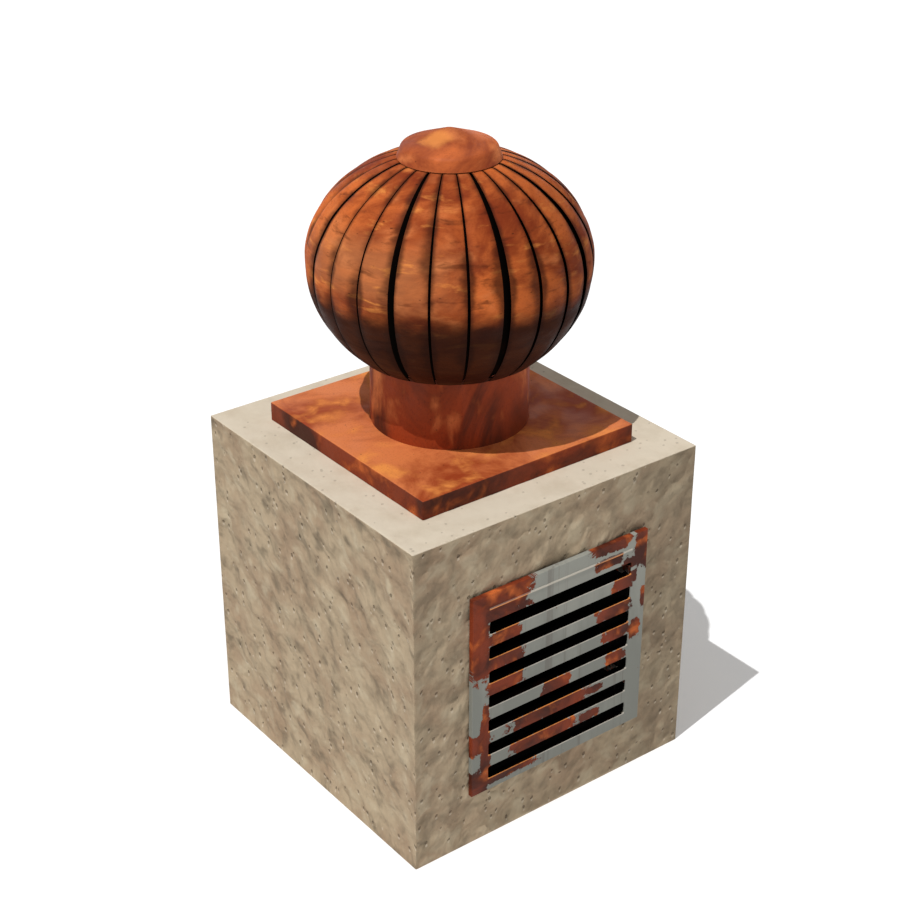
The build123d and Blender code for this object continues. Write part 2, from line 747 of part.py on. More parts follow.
# Bottom ring: a rolled angle, with a cone under the vane ends and a flat flange around the throat
with BuildPart() as bottom_ring:
    with BuildSketch(Plane.XZ):
        with BuildLine():
            FilletPolyline(
                (ring_bore_radius, ring_knee_height),
                (ring_knee_radius, ring_knee_height),
                (
                    ring_knee_radius - (ring_lip + ring_lap) * mouth_out,
                    ring_knee_height - (ring_lip + ring_lap) * mouth_up,
                ),
                radius=ring_bend,
            )
        trace(line_width=ring_sheet)
    revolve(axis=Axis.Z)
    with BuildSketch(Plane.XY.offset(ring_flange_top)):
        with PolarLocations(foot_rivet_radius, rotor_arms):
            Circle(rivet_hole)
    extrude(amount=-ring_sheet, mode=Mode.SUBTRACT)
bottom_ring.part.label = "bottom_ring"
export_step(bottom_ring.part, "parts/bottom_ring.step")

# Lower rotor spider: arms over the throat's top edge, legs down outside it and feet on the ring
with BuildPart() as rotor_spider:
    for inner_radius, foot, rise in (
        (0, rotor_arm_height, rotor_arm_sheet),
        (leg_inner_radius, ring_flange_top, rotor_arm_height - ring_flange_top),
        (foot_inner_radius, ring_flange_top, rotor_arm_sheet),
    ):
        with BuildSketch(Plane.XY.offset(foot)):
            with PolarLocations(0, rotor_arms):
                Rectangle(2 * leg_outer_radius, rotor_arm_width, align=(Align.MIN, Align.CENTER))
            Circle(leg_outer_radius, mode=Mode.INTERSECT)
            if inner_radius:
                Circle(inner_radius, mode=Mode.SUBTRACT)
        extrude(amount=rise)
    with BuildSketch(Plane.XY.offset(rotor_arm_height)):
        Circle(rotor_hub_radius)
    extrude(amount=rotor_hub_height)
    with BuildSketch(Plane.XY.offset(rotor_arm_height)):
        Circle(bush_radius + hole_clearance)
    extrude(amount=rotor_hub_height, mode=Mode.SUBTRACT)
    with BuildSketch(Plane.XY.offset(ring_flange_top)):
        with PolarLocations(foot_rivet_radius, rotor_arms):
            Circle(rivet_hole)
    extrude(amount=rotor_arm_sheet, mode=Mode.SUBTRACT)
rotor_spider.part.label = "rotor_spider"
export_step(rotor_spider.part, "parts/rotor_spider.step")

foot_rivet = make_rivet(ring_sheet + rotor_arm_sheet)
with BuildPart() as rotor_foot_rivets:
    with Locations((0, 0, ring_flange_top - ring_sheet)):
        with PolarLocations(foot_rivet_radius, rotor_arms):
            add(foot_rivet)
rotor_foot_rivets.part.label = "rotor_foot_rivets"
export_step(rotor_foot_rivets.part, "parts/rotor_foot_rivets.step")

# Guide bush in the lower rotor spider's hub
with BuildPart() as guide_bush:
    with BuildSketch(Plane.XZ):
        with Locations((bush_bore_radius, rotor_arm_height - bush_flange_height)):
            Rectangle(bush_wall, bush_flange_height + rotor_hub_height, align=(Align.MIN, Align.MIN))
            Rectangle(bush_wall + bush_flange, bush_flange_height, align=(Align.MIN, Align.MIN))
    revolve(axis=Axis.Z)
guide_bush.part.label = "guide_bush"
export_step(guide_bush.part, "parts/guide_bush.step")
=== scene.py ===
import json
from math import acos, cos, degrees, hypot, pi, radians, sin

import bmesh
import bpy
from mathutils import Color, Matrix, Vector, noise


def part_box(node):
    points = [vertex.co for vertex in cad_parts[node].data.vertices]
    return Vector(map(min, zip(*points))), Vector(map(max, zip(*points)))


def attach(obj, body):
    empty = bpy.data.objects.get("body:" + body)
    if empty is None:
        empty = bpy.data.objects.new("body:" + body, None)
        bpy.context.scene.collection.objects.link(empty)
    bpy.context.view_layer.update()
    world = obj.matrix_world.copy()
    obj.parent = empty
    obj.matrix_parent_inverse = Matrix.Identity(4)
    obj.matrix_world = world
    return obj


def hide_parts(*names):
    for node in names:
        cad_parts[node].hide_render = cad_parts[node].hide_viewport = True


# Weathered turbine roof vent: a rusted rotor, throat and pan on a concrete upstand with a painted grille

bl_info = {
    "name": "Turbine roof vent",
    "version": (1, 0, 0),
    "blender": (4, 5, 0),
    "location": "3D View > Sidebar > Vent",
    "description": "Dresses the turbine roof vent with weathered sheet metal and concrete",
    "category": "Object",
}

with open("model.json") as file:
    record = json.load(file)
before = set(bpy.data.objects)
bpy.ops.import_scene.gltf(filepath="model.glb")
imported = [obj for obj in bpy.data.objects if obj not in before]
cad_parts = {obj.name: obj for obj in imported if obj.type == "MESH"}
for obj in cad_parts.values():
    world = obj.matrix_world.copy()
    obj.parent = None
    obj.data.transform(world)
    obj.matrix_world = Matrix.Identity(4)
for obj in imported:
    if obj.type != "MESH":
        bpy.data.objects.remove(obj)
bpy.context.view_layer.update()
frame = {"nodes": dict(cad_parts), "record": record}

# Counts
VANE_COUNT = 24
VANE_PITCH = 360 / VANE_COUNT
VANE_NODES = [f"vane_{number + 1:02d}" for number in range(VANE_COUNT)]
WIDE_SLIT_EVERY = 3
SLOT_COUNT = 7

# Meshes: metres that count as touching, spare length of a cutter, facets, and what sorts edges and faces
TOUCH = 1e-6
CUT_SPARE = 0.02
ROUND_FACETS = 96
UPSTAND_CUTS = 109
PAN_CUTS = 49
THROAT_RINGS = 14
PLAIN_COLUMNS = 14
TURNED_COLUMNS = 3
VANE_ROWS = 96
BEAD_FACETS = 16
UV_SPARE = 1e-4
LONG_EDGE = 0.1

# Wear in the shapes: the concrete's grain, the size and share of its lumps, and waves of noise per metre
CONCRETE_GRAIN = Vector((1, 1, 1)).normalized()
FACES_DOWN = -0.9
GRAIN_DRAW = 0.6
LUMP_SCALE = 30
SMALL_LUMP_SCALE = 68
SMALL_LUMP_SHARE = 0.45
LUMP_MIDDLE = 0.5
LUMP_SWING = 0.55
TOP_FLATNESS = 0.85
PAN_WAVES = Vector((9, 9, 4))
THROAT_DENTS = Vector((11, 11, 7))
VANE_RIPPLES = Vector((9, 9, 42))
VANE_DENT_SCALE = 22
VANE_DENT_SHARE = 0.6

# Places of stains and of painted light and shade, in metres from the origin at the upstand's foot
DARKER_RIGHT_ACROSS = (0.05, 0.34)
# Painted highlight on the pits' lower rims is the pits shifted down by this much
PIT_HIGHLIGHT_DROP = 0.006
# Painted shade inside the shaft and the grille's opening reaches this far
SHAFT_SHADE_REACH = (0.305, 0.29)
SHAFT_SHADE_TOP = (0.668, 0.66)
OPENING_SHADE_REACH = (0.192, 0.19)
OPENING_SHADE_RISE = (0.2, 0.198)
OPENING_SHADE_DEPTH = (0.0, -0.1)
# Painted highlight on the rotor's sunlit side
SUNLIT_PATCH_CENTRE = (-0.243, -0.06, 1.085)
SUNLIT_PATCH_SIZE = (0.14, 0.14, 0.05)
# Painted shade on the rotor's side away from the sun
SHADED_SIDE = (0.795, -0.607)
SHADED_SIDE_REACH = (0.02, 0.24)
# Painted shade over the rotor's lower third
VANE_SHADE_TOP = (1.04, 0.985)
# Painted highlight on the cap, near its tip
HIGHLIGHT_PLACE = (-0.033, -0.007, -0.01)
HIGHLIGHT_SIZE = (0.02, 0.02, 0.02)
PALE_PAINT_RISE = (0.25, 0.54)
SLOT_FIELD_TOP = (0.52, 0.518)
SLOT_END_FADE = 0.001
# Widths of the painted highlights along the slot edges and the bead
LIT_EDGE_WIDTH = (0.0022, 0.0012)
LIT_BEAD_WIDTH = (0.0026, 0.0014)

# Rust on the grille: middle of each patch across and up, and its half width and half height, in metres
GRILLE_RUST = (
    (-0.152, 0.530, 0.078, 0.050),
    (-0.206, 0.460, 0.038, 0.092),
    (-0.186, 0.400, 0.026, 0.030),
    (-0.176, 0.292, 0.008, 0.020),
    (-0.178, 0.258, 0.012, 0.026),
    (-0.204, 0.228, 0.040, 0.022),
    (-0.176, 0.180, 0.012, 0.030),
    (-0.206, 0.132, 0.040, 0.036),
    (-0.130, 0.138, 0.080, 0.012),
    (0.120, 0.544, 0.050, 0.018),
    (0.112, 0.507, 0.036, 0.011),
    (0.206, 0.515, 0.030, 0.046),
    (0.166, 0.487, 0.020, 0.012),
    (0.176, 0.455, 0.008, 0.014),
    (0.202, 0.400, 0.006, 0.022),
    (0.184, 0.334, 0.014, 0.020),
    (-0.135, 0.447, 0.040, 0.016),
    (-0.132, 0.394, 0.042, 0.016),
    (-0.132, 0.341, 0.044, 0.016),
    (0.148, 0.447, 0.026, 0.016),
    (0.128, 0.394, 0.044, 0.016),
    (0.140, 0.341, 0.036, 0.014),
    (-0.008, 0.287, 0.034, 0.016),
    (0.138, 0.287, 0.026, 0.014),
    (-0.020, 0.234, 0.096, 0.016),
    (0.086, 0.234, 0.022, 0.009),
    (-0.034, 0.181, 0.084, 0.016),
    (0.078, 0.178, 0.026, 0.010),
)

# Stage: floor and camera in metres, lens in millimetres, sun's width in degrees
FLOOR_REACH = 12
FLOOR_DROP = 0.0004
FLOOR_SHADE_REACH = 0.3
FLOOR_GLOW = 0.12
AMBIENT = 0.36
SUN_ENERGY = 2.36
SUN_WIDTH = 0.4
SUN_WAY = Vector((0.413, 0.084, -0.907))
LENS = 73.716
SENSOR = 36
CAMERA_PLACE = Vector((-1.89043, -2.47872, 2.28454))
CAMERA_AIM = Vector((0.0193, 0.0238, 0.6189))


def length(name, description, default):
    """Property for a size in metres."""
    return bpy.props.FloatProperty(
        name=name, description=description, default=default, unit="LENGTH", precision=4
    )


def tint(name, description, red, green, blue):
    """Property for a colour that is written as it shows on a screen, from 0 to 255."""
    shown = (red / 255, green / 255, blue / 255)
    return bpy.props.FloatVectorProperty(
        name=name, description=description, default=shown, subtype="COLOR_GAMMA", size=3, min=0, max=1
    )


class VentSizes(bpy.types.PropertyGroup):
    """Sizes of the vent's dressed pieces."""

    concrete_arris: length("Concrete arris", "Rounding of the upstand's edges", 0.002)
    concrete_lump: length("Concrete lumps", "Depth of the lumps in the concrete's faces", 0.009)
    lump_fade: length("Lump fade", "Width of the smoother strip along the concrete's edges", 0.024)
    concrete_wall: length("Concrete wall", "Thickness of the upstand's walls", 0.09)
    slab: length("Slab", "Thickness of the upstand's slab", 0.08)
    throat_gap: length("Throat gap", "Gap between the throat and the slab", 0.006)
    grille_width: length("Grille width", "Width of the grille's panel", 0.415)
    grille_height: length("Grille height", "Height of the grille's panel", 0.430)
    grille_middle: length("Grille middle", "Height of the panel's centre", 0.330)
    grille_bearing: length("Grille bearing", "How far the panel laps over the wall", 0.022)
    grille_stand_off: length("Grille stand-off", "How far the panel stands off the wall", 0.010)
    grille_sheet: length("Grille sheet", "Thickness of the panel", 0.002)
    grille_bend: length("Grille bend", "Rounding of the panel's turned edges", 0.0015)
    slot_middle: length("Slot middle", "Height of the middle slot", 0.314)
    slot_pitch: length("Slot pitch", "Distance from slot to slot", 0.0532)
    slot_width: length("Slot width", "Length of a slot", 0.339)
    slot_height: length("Slot height", "Height of a slot", 0.0265)
    slot_corner: length("Slot corner", "Rounding of a slot's corners", 0.004)
    lip_depth: length("Lip depth", "How far a slot's lip goes in", 0.011)
    lip_rise: length("Lip rise", "How far a slot's lip rises on its way in", 0.0025)
    lip_bend: length("Lip bend", "Rounding of a lip's edges", 0.0005)
    bead_radius: length("Bead radius", "Radius of the pressed bead", 0.0016)
    bead_height: length("Bead height", "Height of the pressed bead above the ground", 0.51485)
    sheet_gap: length("Sheet gap", "Gap between sheets that lie on each other", 0.0002)
    pan_sheet: length("Pan sheet", "Thickness of the flashing pan", 0.0015)
    pan_bend: length("Pan bend", "Rounding of the pan's edges", 0.003)
    pan_wave: length("Pan wave", "Depth of the pan's waviness", 0.0009)
    pan_fade: length("Pan fade", "Width of the straighter strip along the pan's edges", 0.04)
    throat_radius: length("Throat radius", "Outer radius of the throat", 0.150)
    throat_sheet: length("Throat sheet", "Thickness of the throat", 0.0012)
    throat_bead: length("Throat bead", "Radius of the wired edge on top of the throat", 0.002)
    throat_flange: length("Throat flange", "Width of the throat's flange under the pan", 0.014)
    throat_dent: length("Throat dent", "Depth of the throat's dents", 0.0008)
    throat_fade: length("Throat fade", "Height of the rounder strip at the throat's ends", 0.02)
    rotor_radius: length("Rotor radius", "Radius of the rotor at its widest", 0.260)
    rotor_equator: length("Rotor equator", "Height of the rotor's widest place", 1.030)
    rotor_rise: length("Rotor rise", "Half height of the rotor's upper ellipse", 0.205)
    rotor_drop: length("Rotor drop", "Half height of the rotor's lower ellipse", 0.230)
    crown_radius: length("Crown radius", "Radius at which the vanes meet the cap", 0.097)
    crown_step: length("Crown step", "Rise of the vane tabs above the crown", 0.0014)
    tab_inner: length("Tab inner radius", "Radius at which a vane's tab starts", 0.062)
    tab_outer: length("Tab outer radius", "Radius at which a vane's tab ends", 0.087)
    mouth_radius: length("Mouth radius", "Radius of the rotor's mouth", 0.172)
    mouth_tab: length("Mouth tab", "Reach of the vane's cone at the mouth", 0.014)
    vane_sheet: length("Vane sheet", "Thickness of a vane", 0.001)
    vane_bulge: length("Vane bulge", "Crown of a vane between its edges", 0.003)
    vane_lift: length("Vane lift", "How far a vane's first edge stands proud", 0.001)
    vane_ripple: length("Vane ripple", "Depth of a vane's ripples", 0.0006)
    return_lap: length("Return lap", "Reach of a vane's turned-in edge under the next vane", 0.008)
    return_depth: length("Return depth", "How far a vane's turned-in edge goes in", 0.006)
    return_edge: length("Return edge", "Least width of a vane's turned-in edge", 0.0004)
    slit: length("Slit", "Width of a slit between vanes", 0.005)
    wide_slit: length("Wide slit", "Width of every third slit", 0.013)
    ring_sheet: length("Ring sheet", "Thickness of the bottom ring", 0.0015)
    ring_bend: length("Ring bend", "Rounding of the bottom ring's knee", 0.002)
    ring_gap: length("Ring gap", "Gap between the bottom ring and the throat", 0.005)
    ring_lip: length("Ring lip", "Reach of the bottom ring's cone below the vanes", 0.004)
    ring_lap: length("Ring lap", "Reach of the bottom ring's cone along the vanes", 0.017)
    cap_sheet: length("Cap sheet", "Thickness of the cap", 0.0012)
    cap_skirt: length("Cap skirt", "Height of the cap's skirt", 0.0222)
    cap_taper: length("Cap taper", "How far the cap's skirt leans in", 0.0085)
    cap_flat: length("Cap flat", "Radius of the flat on the cap's tip", 0.008)
    cap_bend: length("Cap bend", "Rounding of the cap's tip and shoulder", 0.0055)


class VentColours(bpy.types.PropertyGroup):
    """Colours of the vent's finishes and of its painted light and shade."""

    # Painted light: this paler colour on the top stands for the light falling on it, and it is also the
    # painted highlight on the pits' lower rims
    concrete_pale: tint("Pale concrete", "Clean cement skin on the top", 220, 207, 186)
    # Light tone of the streaks, and the painted highlight on the lumps' crests
    concrete_light: tint("Light wall", "Washed streaks on the walls", 194, 179, 152)
    # Painted shade: the walls' ground is darker than the top to stand for less light on them
    concrete_warm: tint("Warm wall", "Sandy ground of the walls", 180, 161, 134)
    concrete_rosy: tint("Rosy wall", "Brown blotches of the walls", 165, 142, 117)
    # Dark tone of the streaks, and the painted shade in the lumps' hollows
    concrete_stain_and_shade: tint("Concrete stain", "Dirty hollows of the walls", 120, 108, 90)
    concrete_pit: tint("Concrete pit", "Bottom of the small pits", 74, 64, 50)
    # Painted shade: near-black put on the insides of the shaft, the rotor, the throat and the grille's
    # lips, and on the floor under the shaft, where shade falls
    inside_shade: tint("Soot", "Dark inside of the shaft and the rotor", 8, 6, 5)
    paint: tint("Grille paint", "Grey-green paint", 132, 133, 125)
    paint_pale: tint("Pale paint", "Chalked paint", 154, 154, 145)
    # Painted highlight and wear on the grille's edges
    paint_edge_highlight: tint("Worn paint edge", "Pale worn edge of the pressed sheet", 205, 196, 182)
    # Also painted shade: beside the vanes' slits, over their lower third, and in the inside material
    rust_black: tint("Black rust", "Grimy scale at the foot of the vanes", 36, 14, 7)
    # Dark rust, and also the painted shade on the rotor's side away from the sun
    rust_dark: tint("Dark rust", "Old dark scale", 66, 26, 13)
    rust_deep: tint("Deep rust", "Red-brown rust", 132, 53, 24)
    rust_red: tint("Red rust", "Red-orange rust on the pan and the throat", 154, 62, 26)
    rust_warm: tint("Warm rust", "Orange-brown rust", 212, 109, 52)
    # Bright rust, and also the painted highlights: streaks on the vanes, the patch on the cap and the lit
    # edges of the grille
    rust_clear: tint("Clear rust", "Even orange rust", 221, 127, 73)
    rust_bright_and_highlight: tint("Bright rust", "Fresh orange rust", 240, 150, 74)
    # Painted highlight: pale tan where the sun falls on the rotor's left side
    sunlit_rust: tint("Faded rust", "Pale tan, bleached rust", 200, 134, 86)
    steel_dull: tint("Dull steel", "Bare dull steel", 118, 108, 100)
    zinc: tint("Zinc", "Dull zinc on fasteners", 150, 148, 144)
    bearing: tint("Bearing steel", "Polished bearing steel", 196, 196, 200)
    nylon: tint("Nylon", "Matt bush nylon", 222, 216, 198)
    floor: tint("Floor", "Plain pale floor", 251, 251, 251)


def settings(context):
    """The vent's sizes and colours in the scene."""
    return context.scene.vent_sizes, context.scene.vent_colours


def linear(colour):
    """Shader colour of a screen colour."""
    shares = [value / 12.92 if value <= 0.04045 else ((value + 0.055) / 1.055) ** 2.4 for value in colour]
    return (*shares, 1.0)


# Node building


def place(tree, kind, inputs=None, **settings):
    """Adds a node, sets its options, and links or sets its inputs, with colours as a screen shows them."""
    node = tree.nodes.new(kind)
    for name, value in settings.items():
        setattr(node, name, value)
    for key, value in (inputs or {}).items():
        if isinstance(value, bpy.types.NodeSocket):
            tree.links.new(value, node.inputs[key])
        else:
            node.inputs[key].default_value = linear(value) if isinstance(value, Color) else value
    return node


def maths(tree, operation, *values):
    """Result of one step of arithmetic."""
    return place(tree, "ShaderNodeMath", dict(enumerate(values)), operation=operation).outputs[0]


def times(tree, first, *others):
    """Product of the values."""
    for other in others:
        first = maths(tree, "MULTIPLY", first, other)
    return first


def weighted(tree, *parts):
    """Sum of values, each times its weight."""
    total = 0.0
    for value, weight in parts:
        total = maths(tree, "MULTIPLY_ADD", value, weight, total)
    return total


def unsigned(tree, value):
    """Value without its sign."""
    return maths(tree, "ABSOLUTE", value)


def larger(tree, first, second):
    """The larger of two values."""
    return maths(tree, "MAXIMUM", first, second)


def ramp(tree, value, low, high, foot=0.0, top=1.0):
    """Value that rises smoothly from foot to top between low and high."""
    inputs = {"Value": value, "From Min": low, "From Max": high, "To Min": foot, "To Max": top}
    return place(tree, "ShaderNodeMapRange", inputs, interpolation_type="SMOOTHSTEP").outputs["Result"]


def between(tree, share, first, second):
    """Value that goes from the first to the second as the share goes from 0 to 1."""
    return ramp(tree, share, 0.0, 1.0, first, second)


def blend(tree, share, first, second):
    """Colour that goes from the first to the second."""
    inputs = {0: share, 6: first, 7: second}
    return place(tree, "ShaderNodeMix", inputs, data_type="RGBA").outputs[2]


def stain(tree, colour, tone, *shares):
    """Colour with a tone over it, as strong as the product of the shares."""
    return blend(tree, times(tree, *shares), colour, tone)


def clouds(tree, vector, scale, detail=4.0, roughness=0.55, distortion=0.0):
    """Cloudy value around one half."""
    inputs = {"Vector": vector, "Scale": scale, "Detail": detail}
    inputs |= {"Roughness": roughness, "Distortion": distortion}
    return place(tree, "ShaderNodeTexNoise", inputs).outputs["Fac"]


def vector_maths(tree, operation, first, second):
    """Result of one step of arithmetic with vectors."""
    inputs = {0: first, 1: second}
    return place(tree, "ShaderNodeVectorMath", inputs, operation=operation).outputs[0]


def stretched(tree, vector, scale, turn=(0, 0, 0)):
    """Coordinates that are turned and scaled."""
    inputs = {"Vector": vector, "Rotation": turn, "Scale": scale}
    return place(tree, "ShaderNodeMapping", inputs).outputs[0]


def grained(tree, vector, stretch):
    """Coordinates drawn out along the concrete's slanting grain."""
    inputs = {"Vector": vector, "Rotation": (0, radians(54.7), radians(45)), "Scale": (1, 1, stretch)}
    return place(tree, "ShaderNodeMapping", inputs, vector_type="TEXTURE").outputs[0]


def split(tree, vector):
    """The three parts of a vector."""
    return place(tree, "ShaderNodeSeparateXYZ", {0: vector}).outputs


def facing(tree, kind):
    """The three parts of the surface's direction."""
    return split(tree, place(tree, "ShaderNodeNewGeometry").outputs[kind])


def new_group(name, inputs, outputs):
    """Empty node group with those sockets, and its inner input and output sockets."""
    group = bpy.data.node_groups.new(name, "ShaderNodeTree")
    for way, sockets in (("INPUT", inputs), ("OUTPUT", outputs)):
        for socket, kind in sockets.items():
            group.interface.new_socket(socket, in_out=way, socket_type=f"NodeSocket{kind}")
    return group, group.nodes.new("NodeGroupInput").outputs, group.nodes.new("NodeGroupOutput").inputs


def rust_bloom_group():
    """Rust that clouds from dark to warm, with bright blooms and a fine grain."""
    name = "Rust bloom"
    if name in bpy.data.node_groups:
        return bpy.data.node_groups[name]
    inputs = {"Vector": "Vector", "Scale": "Float", "Bloom": "Float"}
    inputs |= {"Dark": "Color", "Middle": "Color", "Bright": "Color"}
    outputs = {"Colour": "Color", "Roughness": "Float", "Height": "Float"}
    group, given, made = new_group(name, inputs, outputs)
    vector, scale = given["Vector"], given["Scale"]
    broad = clouds(group, vector, scale, 5, 0.6, 0.6)
    patch = clouds(group, vector, times(group, scale, 2.6), 3, 0.5, 0.3)
    grain = clouds(group, vector, times(group, scale, 45.0), 3, 0.7)
    colour = blend(group, ramp(group, broad, 0.36, 0.62), given["Dark"], given["Middle"])
    bloom = ramp(group, maths(group, "ADD", patch, given["Bloom"]), 0.5, 0.76)
    colour = blend(group, bloom, colour, given["Bright"])
    colour = stain(group, colour, given["Dark"], ramp(group, grain, 0.5, 0.72), 0.35)
    group.links.new(colour, made["Colour"])
    group.links.new(ramp(group, patch, 0.3, 0.7, 0.5, 0.78), made["Roughness"])
    group.links.new(weighted(group, (patch, 0.6), (grain, 0.25)), made["Height"])
    return group


def fleck_group():
    """Scattered small flecks or pits."""
    name = "Flecks"
    if name in bpy.data.node_groups:
        return bpy.data.node_groups[name]
    inputs = {"Vector": "Vector", "Scale": "Float", "Size": "Float", "Amount": "Float"}
    group, given, made = new_group(name, inputs, {"Mask": "Float"})
    vector, scale = given["Vector"], given["Scale"]
    ragged = clouds(group, vector, times(group, scale, 2.5), 2, 0.5)
    cells = place(group, "ShaderNodeTexVoronoi", {"Vector": vector, "Scale": scale}).outputs
    chosen = maths(group, "LESS_THAN", split(group, cells["Color"])[0], given["Amount"])
    step = times(group, maths(group, "SUBTRACT", ragged, 0.5), given["Size"])
    away = maths(group, "DIVIDE", maths(group, "ADD", cells["Distance"], step), given["Size"])
    group.links.new(times(group, ramp(group, away, 1.0, 0.55), chosen), made["Mask"])
    return group


def patch_group():
    """Patch with rounded corners at one place, with a ragged edge."""
    name = "Ragged patch"
    if name in bpy.data.node_groups:
        return bpy.data.node_groups[name]
    inputs = {"Vector": "Vector", "Centre": "Vector", "Size": "Vector"}
    inputs |= {"Ragged": "Float", "Scale": "Float", "Edge": "Float"}
    group, given, made = new_group(name, inputs, {"Mask": "Float"})
    step = vector_maths(group, "SUBTRACT", given["Vector"], given["Centre"])
    parts = split(group, vector_maths(group, "DIVIDE", step, given["Size"]))
    fourths = [maths(group, "POWER", unsigned(group, part), 4.0) for part in parts]
    total = maths(group, "ADD", maths(group, "ADD", fourths[0], fourths[1]), fourths[2])
    far = maths(group, "POWER", total, 0.25)
    rough = maths(group, "SUBTRACT", clouds(group, given["Vector"], given["Scale"], 6, 0.68, 0.4), 0.5)
    rough = times(group, rough, times(group, given["Ragged"], 4.0))
    inside = maths(group, "SUBTRACT", 1.0, maths(group, "ADD", far, rough))
    mask = ramp(group, inside, times(group, given["Edge"], -1.0), given["Edge"])
    group.links.new(mask, made["Mask"])
    return group


def use_group(tree, group, **inputs):
    """Outputs of a group placed in a tree, with its inputs linked or set."""
    return place(tree, "ShaderNodeGroup", inputs, node_tree=group).outputs


def rust_bloom(tree, vector, scale, bloom, tones):
    """Colour, roughness and height of rust with a dark, a middle and a bright tone."""
    inputs = dict(zip(("Dark", "Middle", "Bright"), tones))
    return use_group(tree, rust_bloom_group(), Vector=vector, Scale=scale, Bloom=bloom, **inputs)


def flecks(tree, vector, scale, size, amount):
    """Mask of scattered small flecks."""
    return use_group(tree, fleck_group(), Vector=vector, Scale=scale, Size=size, Amount=amount)["Mask"]


def ragged_patch(tree, vector, centre, size, ragged, scale, edge):
    """Mask of one ragged patch."""
    inputs = {"Vector": vector, "Centre": centre, "Size": size}
    return use_group(tree, patch_group(), **inputs, Ragged=ragged, Scale=scale, Edge=edge)["Mask"]


# Materials


def new_material(name):
    """Material with an empty Principled shader, and the coordinates of its object."""
    material = bpy.data.materials.new(name)
    material.use_nodes = True
    tree = material.node_tree
    tree.nodes.clear()
    shader = place(tree, "ShaderNodeBsdfPrincipled")
    output = place(tree, "ShaderNodeOutputMaterial")
    tree.links.new(shader.outputs[0], output.inputs["Surface"])
    coordinates = place(tree, "ShaderNodeTexCoord").outputs
    return material, tree, shader, coordinates


def dress(tree, shader, colour, roughness, height, depth, metallic=0.0, gloss=0.2):
    """Feeds the shader, with a bump of that depth."""
    tree.links.new(colour, shader.inputs["Base Color"])
    tree.links.new(roughness, shader.inputs["Roughness"])
    shader.inputs["Metallic"].default_value = metallic
    shader.inputs["Specular IOR Level"].default_value = gloss
    bump = place(tree, "ShaderNodeBump", {"Height": height, "Distance": depth, "Strength": 1.0})
    tree.links.new(bump.outputs[0], shader.inputs["Normal"])


def concrete_walls(tree, colours, spot, front, streak, lump):
    """Streaky brown colour of the walls, with painted shade in the lumps' hollows, painted highlights on
    their crests, and darker towards the right end of the front.
    """
    broad = clouds(tree, spot, 9.0, 4, 0.55, 0.3)
    wall = blend(tree, ramp(tree, broad, 0.38, 0.66), colours.concrete_warm, colours.concrete_rosy)
    # The light and dark streaks along the grain are weathering, and also painted light and shade of the
    # lumps
    plainer = between(tree, front, 0.75, 0.3)
    wall = stain(tree, wall, colours.concrete_light, ramp(tree, streak, 0.52, 0.74), plainer)
    wall = stain(tree, wall, colours.concrete_stain_and_shade, ramp(tree, streak, 0.48, 0.26), plainer)
    # Painted shade in the lumps' hollows and painted highlights on their crests, strongest on the front
    lump_shade = ramp(tree, lump, 0.5, 0.32)
    wall = stain(tree, wall, colours.concrete_stain_and_shade, lump_shade, between(tree, front, 0.08, 0.42))
    lump_highlight = ramp(tree, lump, 0.5, 0.68)
    wall = stain(tree, wall, colours.concrete_light, lump_highlight, between(tree, front, 0.15, 0.55))
    # Darker towards the right end of the front wall
    darker_right = ramp(tree, split(tree, spot)[0], *DARKER_RIGHT_ACROSS)
    return stain(tree, wall, colours.concrete_stain_and_shade, front, darker_right, 0.45)


def concrete_shade_mask(tree, sizes, spot):
    """Mask of the painted shade in the shaft and in the grille's opening."""
    x, y, z = split(tree, spot)
    reach = larger(tree, unsigned(tree, x), unsigned(tree, y))
    shaft = times(tree, ramp(tree, reach, *SHAFT_SHADE_REACH), ramp(tree, z, *SHAFT_SHADE_TOP))
    rise = unsigned(tree, maths(tree, "SUBTRACT", z, sizes.grille_middle))
    opening = times(
        tree,
        ramp(tree, unsigned(tree, x), *OPENING_SHADE_REACH),
        ramp(tree, y, *OPENING_SHADE_DEPTH),
        ramp(tree, rise, *OPENING_SHADE_RISE),
    )
    return larger(tree, shaft, opening)


